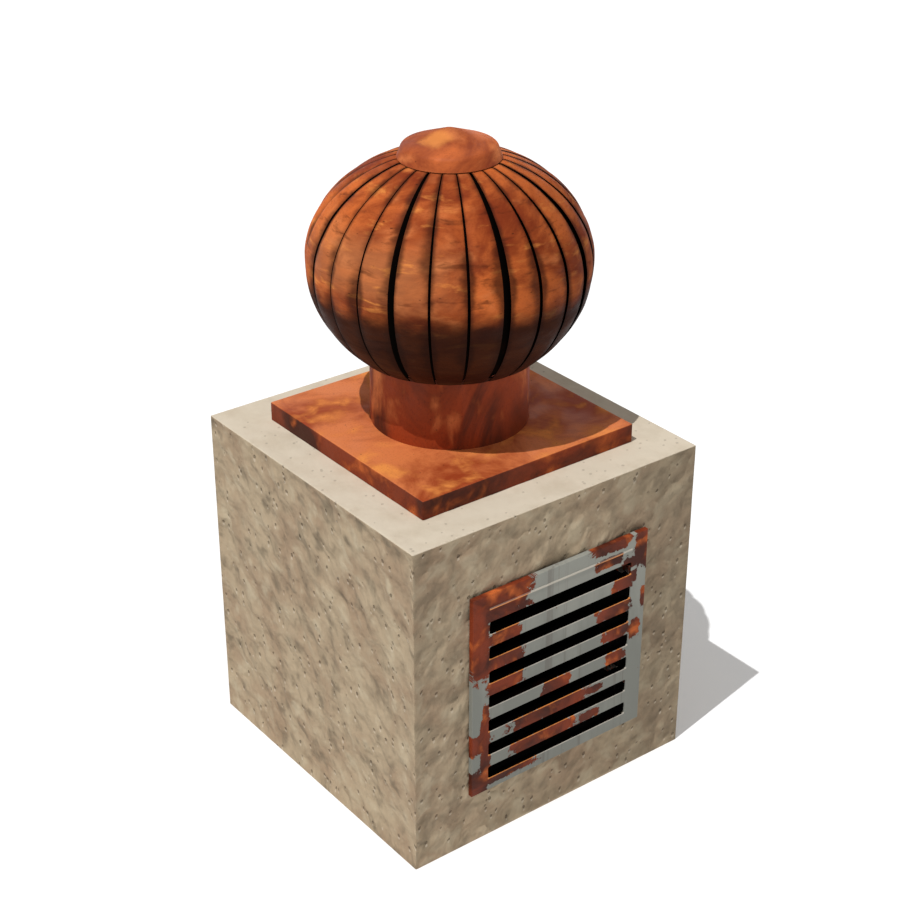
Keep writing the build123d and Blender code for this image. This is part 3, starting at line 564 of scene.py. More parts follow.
def concrete_material(sizes, colours):
    """Cast concrete: a top painted paler and walls painted darker as painted light and shade, streaky
    brown walls, pits with painted highlights on their lower rims and painted shade inside the shaft.
    """
    material, tree, shader, coordinates = new_material("weathered_concrete")
    spot = coordinates["Object"]
    face = facing(tree, "True Normal")
    up = ramp(tree, face[2], 0.5, 0.8)
    front = ramp(tree, face[1], -0.4, -0.8)
    streak = clouds(tree, grained(tree, spot, 2.6), 30.0, 3, 0.5, 0.2)
    lump = clouds(tree, grained(tree, spot, 1.35), 27.0, 2, 0.45, 0.2)
    mottle = ramp(tree, clouds(tree, spot, 16.0, 5, 0.6), 0.4, 0.75)
    top = stain(tree, colours.concrete_pale, colours.concrete_warm, mottle, 0.3)
    # Painted light and shade: the top is given the pale colour and the walls the darker one
    colour = blend(tree, up, concrete_walls(tree, colours, spot, front, streak, lump), top)
    # Painted highlight on each pit's lower rim: the pits again, shifted down
    raised = vector_maths(tree, "ADD", spot, (0, 0, PIT_HIGHLIGHT_DROP))
    hole, rim = (flecks(tree, grained(tree, at, 1.6), 60.0, 0.19, 0.75) for at in (spot, raised))
    colour = stain(tree, colour, colours.concrete_pale, rim, between(tree, up, 0.4, 0.0))
    colour = stain(tree, colour, colours.concrete_pit, hole, between(tree, up, 0.5, 0.25))
    # Painted shade: near-black inside the shaft and the grille's opening
    colour = stain(tree, colour, colours.inside_shade, concrete_shade_mask(tree, sizes, spot))
    sand = clouds(tree, spot, 420.0, 3, 0.7)
    height = weighted(tree, (streak, 1.6), (lump, 4.5), (sand, 0.06), (hole, -0.6))
    height = times(tree, height, between(tree, up, 1.0, 0.15))
    rough = ramp(tree, sand, 0.3, 0.7, 0.82, 0.95)
    dress(tree, shader, colour, rough, height, depth=0.004, gloss=0.1)
    return material


def vane_material(colours):
    """Rusted vane: streaks across it with painted highlight streaks, painted shade beside the slits, a
    painted highlight on the sunlit side, and painted shade on the far side and over the lower third.
    """
    material, tree, shader, coordinates = new_material("vane_rust")
    spot = coordinates["Object"]
    across = split(tree, coordinates["UV"])[0]
    x, y, z = split(tree, spot)
    tones = (colours.rust_deep, colours.rust_warm, colours.rust_clear)
    rust = rust_bloom(tree, stretched(tree, spot, (1, 1, 2.2)), 4.5, -0.03, tones)
    # Painted highlight on the rotor's sunlit side
    sunlit_patch = ragged_patch(tree, spot, SUNLIT_PATCH_CENTRE, SUNLIT_PATCH_SIZE, 0.35, 10.0, 0.55)
    colour = stain(tree, rust["Colour"], colours.sunlit_rust, sunlit_patch, 0.38)
    wisp = clouds(tree, stretched(tree, spot, (1, 1, 4.5), (0.12, 0.1, 0)), 13.0, 5, 0.6, 0.3)
    # Painted highlight streaks across the vanes
    colour = stain(tree, colour, colours.rust_bright_and_highlight, ramp(tree, wisp, 0.56, 0.74), 0.7)
    colour = stain(tree, colour, colours.rust_dark, ramp(tree, wisp, 0.44, 0.28), 0.6)
    specks = flecks(tree, stretched(tree, spot, (0.5, 0.5, 1.5)), 70.0, 0.12, 0.4)
    colour = stain(tree, colour, colours.rust_black, specks, 0.6)
    # Painted shade beside the slits, broad toward each vane's last edge and narrow at its first edge
    cloud = clouds(tree, stretched(tree, spot, (1, 1, 1.6)), 9.0, 4, 0.6)
    ragged = times(tree, maths(tree, "SUBTRACT", cloud, 0.5), 0.9)
    last = ramp(tree, maths(tree, "ADD", across, ragged), 0.56, 0.88)
    first = ramp(tree, weighted(tree, (across, 1.0), (ragged, -0.5)), 0.16, 0.0)
    colour = stain(tree, colour, colours.rust_black, larger(tree, last, first), 0.75)
    # Painted shade on the rotor's side away from the sun
    side = weighted(tree, (x, SHADED_SIDE[0]), (y, SHADED_SIDE[1]), (ragged, 0.1))
    colour = stain(tree, colour, colours.rust_dark, ramp(tree, side, *SHADED_SIDE_REACH, 0.0, 0.42))
    # Painted shade over the lower third of the rotor
    low = ramp(tree, weighted(tree, (z, 1.0), (ragged, 0.07)), *VANE_SHADE_TOP)
    colour = stain(tree, colour, colours.rust_black, low, 0.94)
    height = weighted(tree, (rust["Height"], 1.0), (wisp, 1.2))
    dress(tree, shader, colour, rust["Roughness"], height, depth=0.0018, gloss=0.06)
    return material


def sheet_rust_material(name, colours, tones, scale, bloom, stretch=(1, 1, 1), sides=None, highlight=None):
    """Rusted sheet with blooms and dark specks, and maybe darker tones on its sides as painted shade and a
    bright patch as painted highlight.
    """
    material, tree, shader, coordinates = new_material(name)
    spot = coordinates["Object"]
    rust = rust_bloom(tree, stretched(tree, spot, stretch), scale, bloom, tones)
    colour = rust["Colour"]
    if highlight:
        # Painted highlight patch
        patch = ragged_patch(tree, spot, highlight, HIGHLIGHT_SIZE, 0.4, 22.0, 0.5)
        colour = stain(tree, colour, colours.rust_bright_and_highlight, patch, 0.7)
    if sides:
        # Painted shade: darker tones on faces that do not look up
        edge = rust_bloom(tree, spot, 6.0, -0.02, sides)["Colour"]
        colour = blend(tree, ramp(tree, facing(tree, "Normal")[2], 0.85, 0.5), colour, edge)
    colour = stain(tree, colour, colours.rust_dark, flecks(tree, spot, 52.0, 0.09, 0.45), 0.55)
    dress(tree, shader, colour, rust["Roughness"], rust["Height"], depth=0.0012)
    return material


def inside_shade_material(colours):
    """Painted shade on the inner side of the sheets and on the grille's lips, the same for every piece."""
    name = "painted_shade_inside"
    if name in bpy.data.materials:
        return bpy.data.materials[name]
    material, tree, shader, coordinates = new_material(name)
    cloud = clouds(tree, coordinates["Object"], 12.0, 5, 0.6)
    colour = blend(tree, ramp(tree, cloud, 0.55, 0.9), colours.inside_shade, colours.rust_black)
    dress(tree, shader, colour, ramp(tree, cloud, 0.3, 0.7, 0.9, 1.0), cloud, depth=0.001, gloss=0.0)
    return material


def lit_worn_edges(tree, sizes, colours, spot, bare, colour):
    """Colour with pale lines along the slots' lower and upper edges and along the bead: painted highlights
    where the edges catch the light, mixed with wear.
    """
    x, _, z = split(tree, spot)
    slot_end = sizes.slot_width / 2
    ends = ramp(tree, unsigned(tree, x), slot_end + SLOT_END_FADE, slot_end)
    foot = sizes.slot_middle - SLOT_COUNT // 2 * sizes.slot_pitch - sizes.slot_height / 2
    above = maths(tree, "PINGPONG", maths(tree, "SUBTRACT", z, foot), sizes.slot_pitch / 2)
    # Painted highlight and wear along the slot edges
    line = ramp(tree, unsigned(tree, above), *LIT_EDGE_WIDTH)
    worn = ramp(tree, clouds(tree, spot, 45.0, 3, 0.6), 0.3, 0.55, 0.35, 0.9)
    edge = blend(tree, bare, colours.paint_edge_highlight, colours.rust_bright_and_highlight)
    colour = stain(tree, colour, edge, line, ends, ramp(tree, z, *SLOT_FIELD_TOP), worn)
    # Painted highlight along the bead
    bead = ramp(tree, unsigned(tree, maths(tree, "SUBTRACT", z, sizes.bead_height)), *LIT_BEAD_WIDTH)
    return stain(tree, colour, colours.paint_edge_highlight, bead, ends, between(tree, bare, 0.55, 0.2))


def grille_material(sizes, colours):
    """Grey paint that has flaked off rust in ragged patches, with worn pale edges."""
    material, tree, shader, coordinates = new_material("flaked_paint")
    spot = coordinates["Object"]
    flat = vector_maths(tree, "MULTIPLY", spot, (1, 0, 1))
    bare = flecks(tree, flat, 70.0, 0.14, 0.08)
    for across, high, half_width, half_height in GRILLE_RUST:
        size = (half_width, 1, half_height)
        bare = larger(tree, bare, ragged_patch(tree, flat, (across, 0, high), size, 0.42, 60.0, 0.04))
    rust = rust_bloom(tree, spot, 9.0, -0.01, (colours.rust_dark, colours.rust_deep, colours.rust_warm))
    chalk = clouds(tree, stretched(tree, spot, (1, 1, 0.25)), 14.0, 5, 0.6)
    rise = ramp(tree, split(tree, spot)[2], *PALE_PAINT_RISE, -0.1, 0.18)
    pale = ramp(tree, maths(tree, "ADD", chalk, rise), 0.35, 0.75)
    paint = blend(tree, pale, colours.paint, colours.paint_pale)
    runs = clouds(tree, stretched(tree, spot, (1, 1, 0.02)), 60.0, 2)
    paint = stain(tree, paint, colours.rust_dark, ramp(tree, runs, 0.6, 0.7), 0.25)
    colour = blend(tree, bare, paint, rust["Colour"])
    colour = lit_worn_edges(tree, sizes, colours, spot, bare, colour)
    clean = ramp(tree, chalk, 0.3, 0.7, 0.5, 0.65)
    rough = larger(tree, times(tree, bare, rust["Roughness"]), clean)
    height = weighted(tree, (rust["Height"], 0.5), (bare, -0.6))
    dress(tree, shader, colour, rough, height, depth=0.0008)
    return material


def metal_material(name, base, tarnish, amount, metallic, smooth):
    """Hidden metal or nylon with a cloudy tarnish."""
    material, tree, shader, coordinates = new_material(name)
    spot = coordinates["Object"]
    cloud = clouds(tree, spot, 60.0, 5, 0.65)
    colour = blend(tree, ramp(tree, cloud, 0.62 - amount, 0.8 - amount), base, tarnish)
    grain = clouds(tree, stretched(tree, spot, (1, 1, 6)), 240.0, 2, 0.6)
    rough = ramp(tree, cloud, 0.3, 0.7, smooth, smooth + 0.2)
    dress(tree, shader, colour, rough, grain, depth=0.0002, metallic=metallic)
    return material


# Mesh building


def finish_piece(bm, name, body, nodes, materials, sharp=40):
    """Makes the mesh an object that rides on a body and stands for its CAD nodes."""
    mesh = bpy.data.meshes.new(name)
    bm.to_mesh(mesh)
    bm.free()
    for material in materials:
        mesh.materials.append(material)
    mesh.shade_smooth()
    mesh.set_sharp_from_angle(angle=radians(sharp))
    piece = bpy.data.objects.new(name, mesh)
    bpy.context.scene.collection.objects.link(piece)
    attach(piece, body)
    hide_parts(*nodes)
    return piece


def box_mesh(low, high, cuts=0):
    """Box between two corners, with each side cut into a grid."""
    bm = bmesh.new()
    bmesh.ops.create_cube(bm, size=1)
    if cuts:
        bmesh.ops.subdivide_edges(bm, edges=bm.edges[:], cuts=cuts, use_grid_fill=True)
    bmesh.ops.scale(bm, vec=Vector(high) - Vector(low), verts=bm.verts)
    bmesh.ops.translate(bm, vec=(Vector(high) + Vector(low)) / 2, verts=bm.verts)
    return bm


def rod_mesh(radius, length, facets):
    """Closed round rod along Z, about the origin."""
    bm = bmesh.new()
    bmesh.ops.create_cone(
        bm, cap_ends=True, segments=facets, radius1=radius, radius2=radius, depth=length
    )
    return bm


def post(radius, foot, top):
    """Round cutter along Z."""
    bm = rod_mesh(radius, top - foot, ROUND_FACETS)
    bmesh.ops.translate(bm, vec=(0, 0, (foot + top) / 2), verts=bm.verts)
    return bm


def bevel(bm, geom, offset, segments, affect="EDGES"):
    """Rounds edges or corners."""
    bmesh.ops.bevel(
        bm, geom=geom, affect=affect, offset=offset, segments=segments, profile=0.5, material=-1
    )


def edge_gaps(spot, low, high):
    """Distances from a place to the nearest side of a box along each axis, the least first."""
    return sorted(min(abs(spot[axis] - low[axis]), abs(high[axis] - spot[axis])) for axis in range(3))


def round_box_edges(bm, low, high, offset, segments, keep):
    """Bevels the box's edges, apart from those whose middle keep picks out."""
    edges = []
    for edge in bm.edges:
        middle = (edge.verts[0].co + edge.verts[1].co) / 2
        gaps = edge_gaps(middle, low, high)
        if gaps[1] < TOUCH <= gaps[2] and not keep(middle):
            edges.append(edge)
    bevel(bm, edges, offset, segments)


def clamp(share):
    """Share held between 0 and 1."""
    return min(1, max(0, share))


def cut_out(bm, cutters):
    """The mesh with the cutters' meshes taken out of it."""
    objects = []
    for index, shape in enumerate([bm, *cutters]):
        mesh = bpy.data.meshes.new(f"cut_{index}")
        shape.to_mesh(mesh)
        shape.free()
        objects.append(bpy.data.objects.new(f"cut_{index}", mesh))
        bpy.context.scene.collection.objects.link(objects[-1])
    for cutter in objects[1:]:
        modifier = objects[0].modifiers.new("cut", "BOOLEAN")
        modifier.operation = "DIFFERENCE"
        modifier.solver = "EXACT"
        modifier.object = cutter
    bpy.context.view_layer.update()
    made = objects[0].evaluated_get(bpy.context.evaluated_depsgraph_get())
    result = bmesh.new()
    result.from_mesh(made.to_mesh())
    made.to_mesh_clear()
    for item in objects:
        mesh = item.data
        bpy.data.objects.remove(item)
        bpy.data.meshes.remove(mesh)
    if not result.faces:
        raise RuntimeError("a cut left nothing of the piece")
    return result


def join(bm, other):
    """Adds the other mesh to the first."""
    mesh = bpy.data.meshes.new("joined")
    other.to_mesh(mesh)
    other.free()
    bm.from_mesh(mesh)
    bpy.data.meshes.remove(mesh)


def turned_shell(points, bends, closed=False):
    """Surface turned about Z from a line of (radius, height) points, with some corners rounded."""
    bm = bmesh.new()
    verts = [bm.verts.new((radius, 0, height)) for radius, height in points]
    for first, second in zip(verts, verts[1:] + verts[:1] if closed else verts[1:]):
        bm.edges.new((first, second))
    for index, offset in bends.items():
        bevel(bm, [verts[index]], offset, 6, "VERTICES")
    bmesh.ops.spin(
        bm,
        geom=bm.verts[:] + bm.edges[:],
        cent=(0, 0, 0),
        axis=(0, 0, 1),
        angle=2 * pi,
        steps=ROUND_FACETS,
        use_merge=True,
    )
    bmesh.ops.remove_doubles(bm, verts=bm.verts, dist=TOUCH)
    bmesh.ops.recalc_face_normals(bm, faces=bm.faces)
    return bm


def thicken(bm, sheet, outward):
    """Gives a surface its thickness on the inner side, where outward says how far a face looks out."""
    if sum(outward(face) for face in bm.faces) < 0:
        bmesh.ops.reverse_faces(bm, faces=bm.faces)
    bmesh.ops.solidify(bm, geom=bm.faces[:], thickness=sheet)


class RotorForm:
    """The rotor's surface: two half ellipses that meet at the equator."""

    tab_share = 0.08
    mouth_share = 0.97

    def __init__(self, sizes):
        self.sizes = sizes
        self.crown_angle = degrees(acos(sizes.crown_radius / sizes.rotor_radius))
        self.mouth_angle = -degrees(acos((sizes.mouth_radius + sizes.mouth_tab) / sizes.rotor_radius))
        self.tab_height = self.point(self.crown_angle)[1] + sizes.crown_step
        self.mouth_out, self.mouth_up = self.fall(self.mouth_angle)
        drop = sizes.mouth_tab * self.mouth_up / self.mouth_out
        self.mouth_height = self.point(self.mouth_angle)[1] - drop

    def half_height(self, angle):
        """Half height of the ellipse at an angle up from the equator."""
        return self.sizes.rotor_rise if angle > 0 else self.sizes.rotor_drop

    def point(self, angle):
        """Radius and height at an angle up from the equator."""
        radius = self.sizes.rotor_radius * cos(radians(angle))
        return radius, self.sizes.rotor_equator + self.half_height(angle) * sin(radians(angle))

    def fall(self, angle):
        """Direction, out and up, in which the surface runs down."""
        out = self.sizes.rotor_radius * sin(radians(angle))
        up = -self.half_height(angle) * cos(radians(angle))
        return out / hypot(out, up), up / hypot(out, up)

    def station(self, share):
        """Radius, height, downward direction and swell at a share of the way along a vane."""
        sizes = self.sizes
        if share < self.tab_share:
            along = share / self.tab_share
            return sizes.tab_inner + (sizes.tab_outer - sizes.tab_inner) * along, self.tab_height, 1, 0, 0
        if share > self.mouth_share:
            along = (share - self.mouth_share) / (1 - self.mouth_share)
            radius, height = self.point(self.mouth_angle)
            radius += (sizes.mouth_radius - radius) * along
            height += (self.mouth_height - height) * along
            return radius, height, self.mouth_out, self.mouth_up, 0
        along = (share - self.tab_share) / (self.mouth_share - self.tab_share)
        angle = self.crown_angle + (self.mouth_angle - self.crown_angle) * along
        return (*self.point(angle), *self.fall(angle), sin(pi * along))


def slit_at(sizes, seam):
    """Width of the slit at a seam, counted round from +X."""
    return sizes.wide_slit if seam % WIDE_SLIT_EVERY == WIDE_SLIT_EVERY - 1 else sizes.slit


def bowed(radius, up, angle, lift):
    """Place across and out from a vane's middle line, at an angle round the rotor in radians."""
    return Vector((radius * sin(angle), lift - radius * (1 - cos(angle)) * -up))


def turned_edge(sizes, station, slit, last, turned):
    """Place on a vane's turned-in edge, which follows the rotor under the next vane."""
    radius, _, _, up, swell = station
    full_swell, fade_power, turn_power, sheet_drop = 0.15, 1.5, 0.7, 1.3
    open_here = slit * radius / sizes.rotor_radius
    reach = sizes.return_edge + min(1, swell / full_swell) * (open_here + sizes.return_lap)
    drop = sizes.return_depth * swell**fade_power * turned**turn_power
    drop += sizes.vane_sheet * sheet_drop * turned
    return bowed(radius, up, radians(last) + reach * turned / radius, -swell * sizes.vane_lift - drop)


def vane_mesh(sizes, form, number):
    """Vane between two seams: cupped, proud at its first edge and turned in at its last."""
    columns = PLAIN_COLUMNS + TURNED_COLUMNS
    slit_after = slit_at(sizes, number + 1)
    first = -VANE_PITCH / 2 + degrees(slit_at(sizes, number) / 2 / sizes.rotor_radius)
    last = VANE_PITCH / 2 - degrees(slit_after / 2 / sizes.rotor_radius)
    lifts = ((first, sizes.vane_lift), ((first + last) / 2, sizes.vane_bulge), (last, -sizes.vane_lift))
    turn = Matrix.Rotation(radians((number + 0.5) * VANE_PITCH), 3, "Z")
    bm = bmesh.new()
    bm.loops.layers.uv.new("vane")
    bmesh.ops.create_grid(bm, x_segments=columns, y_segments=VANE_ROWS, size=0.5, calc_uvs=True)
    for vert in bm.verts:
        column = round((vert.co.x + 0.5) * columns)
        station = form.station(vert.co.y + 0.5)
        radius, height, out, up, swell = station
        if column > PLAIN_COLUMNS:
            turned = (column - PLAIN_COLUMNS) / TURNED_COLUMNS
            spot = turned_edge(sizes, station, slit_after, last, turned)
        else:
            start, middle, end = (bowed(radius, up, radians(angle), swell * lift) for angle, lift in lifts)
            control = middle * 2 - (start + end) / 2
            along = column / PLAIN_COLUMNS
            spot = start * (1 - along) ** 2 + control * 2 * along * (1 - along) + end * along**2
        outward = Vector((-up, 0, out))
        surface = Vector((radius, spot.x, height)) + outward * (spot.y + sizes.vane_sheet / 2)
        surface = turn @ surface
        wave = noise.noise(surface * VANE_RIPPLES)
        wave += noise.noise(surface * VANE_DENT_SCALE) * VANE_DENT_SHARE
        vert.co = surface + turn @ outward * (sizes.vane_ripple * swell * (wave - 1))
    bmesh.ops.recalc_face_normals(bm, faces=bm.faces)
    heart = Vector((0, 0, sizes.rotor_equator))
    thicken(bm, sizes.vane_sheet, lambda face: face.normal.dot(face.calc_center_median() - heart))
    across = bm.loops.layers.uv.active
    # Inner faces and the turned-in edges take the painted shade material
    for face in bm.faces:
        plain = all(loop[across].uv.x < PLAIN_COLUMNS / columns + UV_SPARE for loop in face.loops)
        outside = face.normal.dot(face.calc_center_median() - heart) > 0
        face.material_index = 0 if plain and outside else 1
    return bm


# Operators


class VENT_OT_stage(bpy.types.Operator):
    """Sets the floor, the white surroundings, the sun and the camera"""

    bl_idname = "vent.stage"
    bl_label = "Stage"

    def execute(self, context):
        scene = context.scene
        scene.view_settings.view_transform = "Standard"
        self.lay_floor(scene)
        self.light_surroundings(scene)

        sun = bpy.data.lights.new("sun", "SUN")
        sun.energy = SUN_ENERGY
        sun.angle = radians(SUN_WIDTH)
        lamp = bpy.data.objects.new("sun", sun)
        lamp.rotation_euler = SUN_WAY.to_track_quat("-Z", "Y").to_euler()
        scene.collection.objects.link(lamp)

        lens = bpy.data.cameras.new("camera")
        lens.lens = LENS
        lens.sensor_width = SENSOR
        camera = bpy.data.objects.new("camera", lens)
        camera.location = CAMERA_PLACE
        camera.rotation_euler = (CAMERA_AIM - CAMERA_PLACE).to_track_quat("-Z", "Y").to_euler()
        scene.collection.objects.link(camera)
        scene.camera = camera
        return {"FINISHED"}

    def lay_floor(self, scene):
        """Pale floor with painted shade under the shaft."""
        bm = bmesh.new()
        bmesh.ops.create_grid(bm, x_segments=4, y_segments=4, size=FLOOR_REACH)
        bmesh.ops.translate(bm, vec=(0, 0, -FLOOR_DROP), verts=bm.verts)
        mesh = bpy.data.meshes.new("floor")
        bm.to_mesh(mesh)
        bm.free()
        floor = bpy.data.objects.new("floor", mesh)
        scene.collection.objects.link(floor)
        material, tree, shader, coordinates = new_material("pale_floor")
        x, y, _ = split(tree, coordinates["Object"])
        reach = larger(tree, unsigned(tree, x), unsigned(tree, y))
        # Painted shade: the floor under the shaft is near-black and does not glow for the camera
        shaft = maths(tree, "LESS_THAN", reach, FLOOR_SHADE_REACH)
        colour = blend(tree, shaft, scene.vent_colours.floor, scene.vent_colours.inside_shade)
        tree.links.new(colour, shader.inputs["Base Color"])
        shader.inputs["Roughness"].default_value = 1.0
        shader.inputs["Specular IOR Level"].default_value = 0.0
        shader.inputs["Emission Color"].default_value = (1, 1, 1, 1)
        seen = place(tree, "ShaderNodeLightPath").outputs["Is Camera Ray"]
        outside = maths(tree, "GREATER_THAN", maths(tree, "SUBTRACT", seen, shaft), 0.5)
        tree.links.new(times(tree, outside, FLOOR_GLOW), shader.inputs["Emission Strength"])
        mesh.materials.append(material)

    def light_surroundings(self, scene):
        """White surroundings that are dimmer as a light than they look."""
        world = bpy.data.worlds.new("white_surroundings")
        scene.world = world
        world.use_nodes = True
        tree = world.node_tree
        tree.nodes.clear()
        path = place(tree, "ShaderNodeLightPath").outputs
        seen = larger(tree, path["Is Camera Ray"], path["Is Glossy Ray"])
        seen = larger(tree, seen, path["Is Transmission Ray"])
        strength = between(tree, seen, AMBIENT, 1.0)
        background = place(tree, "ShaderNodeBackground", {"Color": (1, 1, 1, 1), "Strength": strength})
        output = place(tree, "ShaderNodeOutputWorld")
        tree.links.new(background.outputs[0], output.inputs["Surface"])


class VENT_OT_upstand(bpy.types.Operator):
    """Casts the lumpy concrete upstand with its shaft, grille opening and throat hole"""

    bl_idname = "vent.upstand"
    bl_label = "Upstand"

    def execute(self, context):
        sizes, colours = settings(context)
        low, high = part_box("upstand")
        bm = box_mesh(low, high, UPSTAND_CUTS)
        round_box_edges(bm, low, high, sizes.concrete_arris, 3, lambda middle: middle.z < low.z + TOUCH)
        bm.normal_update()
        for vert in bm.verts:
            at_foot = vert.co.z < low.z + TOUCH
            if at_foot and vert.normal.z < FACES_DOWN:
                continue
            spot = vert.co - CONCRETE_GRAIN * (GRAIN_DRAW * vert.co.dot(CONCRETE_GRAIN))
            lump = noise.noise(spot * LUMP_SCALE)
            lump += SMALL_LUMP_SHARE * noise.noise(spot * SMALL_LUMP_SCALE)
            inner = clamp(edge_gaps(vert.co, low, high)[1] / sizes.lump_fade)
            flatness = 1 - TOP_FLATNESS * max(0, vert.normal.z)
            depth = sizes.concrete_lump * max(0, LUMP_MIDDLE + LUMP_SWING * lump)
            step = vert.normal * (depth * inner * flatness)
            if at_foot:
                step.z = 0
            vert.co -= step
        wall = sizes.concrete_wall
        soffit = high.z - sizes.slab
        shaft = box_mesh(
            (low.x + wall, low.y + wall, low.z - CUT_SPARE),
            (high.x - wall, high.y - wall, soffit),
        )
        half_width = sizes.grille_width / 2 - sizes.grille_bearing
        half_height = sizes.grille_height / 2 - sizes.grille_bearing
        opening = box_mesh(
            (-half_width, low.y - CUT_SPARE, sizes.grille_middle - half_height),
            (half_width, low.y + wall + CUT_SPARE, sizes.grille_middle + half_height),
        )
        hole = post(sizes.throat_radius + sizes.throat_gap, soffit - CUT_SPARE, high.z + CUT_SPARE)
        bm = cut_out(bm, [shaft, opening, hole])
        materials = [concrete_material(sizes, colours)]
        finish_piece(bm, "upstand_concrete", "base", ["upstand"], materials)
        return {"FINISHED"}


class VENT_OT_grille(bpy.types.Operator):
    """Presses the louvred grille with its lipped slots and bead"""

    bl_idname = "vent.grille"
    bl_label = "Louvre grille"
    bead_end_share = 0.8

    def execute(self, context):
        sizes, colours = settings(context)
        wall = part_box("upstand")[0].y
        front = wall - sizes.grille_stand_off
        half_width, half_height = sizes.grille_width / 2, sizes.grille_height / 2
        low = Vector((-half_width, front, sizes.grille_middle - half_height))
        high = Vector((half_width, wall, sizes.grille_middle + half_height))
        bm = box_mesh(low, high)
        back = [face for face in bm.faces if face.calc_center_median().y > wall - TOUCH]
        bmesh.ops.delete(bm, geom=back, context="FACES")
        round_box_edges(bm, low, high, sizes.grille_bend, 4, lambda middle: middle.y > front + TOUCH)
        bmesh.ops.solidify(bm, geom=bm.faces[:], thickness=sizes.grille_sheet)
        rows = range(-(SLOT_COUNT // 2), SLOT_COUNT // 2 + 1)
        slots = [sizes.slot_middle + row * sizes.slot_pitch for row in rows]
        bm = cut_out(bm, [self.slot_cutter(sizes, front, slot) for slot in slots])
        for face in bm.faces:
            face.material_index = 0
        for slot in slots:
            join(bm, self.lip(sizes, front, slot - sizes.slot_height / 2))
        join(bm, self.bead(sizes, front))
        materials = [grille_material(sizes, colours), inside_shade_material(colours)]
        finish_piece(bm, "grille_panel", "base", ["louvre_grille"], materials, 30)
        return {"FINISHED"}

    def slot_cutter(self, sizes, front, slot):
        """Cutter for a slot with round corners."""
        corner = Vector((sizes.slot_width / 2, CUT_SPARE / 2, sizes.slot_height / 2))
        centre = Vector((0, front, slot))
        cutter = box_mesh(centre - corner, centre + corner)
        through = [edge for edge in cutter.edges if abs(edge.verts[0].co.y - edge.verts[1].co.y) > TOUCH]
        bevel(cutter, through, sizes.slot_corner, 4)
        return cutter

    def lip(self, sizes, front, foot):
        """Lip that goes in and up from the foot of a slot, coloured with painted shade."""
        half = sizes.slot_width / 2 - sizes.slot_corner
        lip = box_mesh(
            (-half, front + sizes.sheet_gap, foot - sizes.grille_sheet),
            (half, front + sizes.lip_depth, foot),
        )
        for vert in lip.verts:
            vert.co.z += sizes.lip_rise * (vert.co.y - front) / sizes.lip_depth
        bevel(lip, lip.edges[:], sizes.lip_bend, 2)
        # The lip takes the painted shade material
        for face in lip.faces:
            face.material_index = 1
        return lip

    def bead(self, sizes, front):
        """Half-sunk rod with round ends above the slots."""
        bead = rod_mesh(sizes.bead_radius, sizes.slot_width, BEAD_FACETS)
        ends = [edge for edge in bead.edges if abs(edge.verts[0].co.z - edge.verts[1].co.z) < TOUCH]
        bevel(bead, ends, sizes.bead_radius * self.bead_end_share, 3)
        level = Matrix.Rotation(pi / 2, 3, "Y")
        bmesh.ops.rotate(bead, cent=(0, 0, 0), matrix=level, verts=bead.verts)
        bmesh.ops.translate(bead, vec=(0, front, sizes.bead_height), verts=bead.verts)
        return bead


class VENT_OT_flashing(bpy.types.Operator):
    """Turns the flashing pan down over the slab"""

    bl_idname = "vent.flashing"
    bl_label = "Base flashing"

    def execute(self, context):
        sizes, colours = settings(context)
        low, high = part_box("base_flashing")
        bm = box_mesh(low, high)
        below = [face for face in bm.faces if face.calc_center_median().z < low.z + TOUCH]
        bmesh.ops.delete(bm, geom=below, context="FACES")
        round_box_edges(bm, low, high, sizes.pan_bend, 4, lambda middle: middle.z < low.z + TOUCH)
        long_edges = [edge for edge in bm.edges if edge.calc_length() > LONG_EDGE]
        bmesh.ops.subdivide_edges(bm, edges=long_edges, cuts=PAN_CUTS, use_grid_fill=True)
        bm.normal_update()
        for vert in bm.verts:
            wave = noise.noise(vert.co * PAN_WAVES)
            inner = clamp(edge_gaps(vert.co, low, high)[1] / sizes.pan_fade)
            vert.co -= vert.normal * (sizes.pan_wave * inner * (0.5 + 0.5 * wave))
        bmesh.ops.solidify(bm, geom=bm.faces[:], thickness=sizes.pan_sheet)
        hole = post(sizes.throat_radius + sizes.sheet_gap, high.z - CUT_SPARE / 2, high.z + CUT_SPARE / 2)
        bm = cut_out(bm, [hole])
        tones = (colours.rust_red, colours.rust_clear, colours.rust_bright_and_highlight)
        # Darker tones on the pan's sides are painted shade
        sides = (colours.rust_dark, colours.rust_deep, colours.rust_warm)
        material = sheet_rust_material("pan_rust", colours, tones, 6.0, -0.01, sides=sides)
        finish_piece(bm, "flashing_pan", "base", ["base_flashing"], [material])
        return {"FINISHED"}


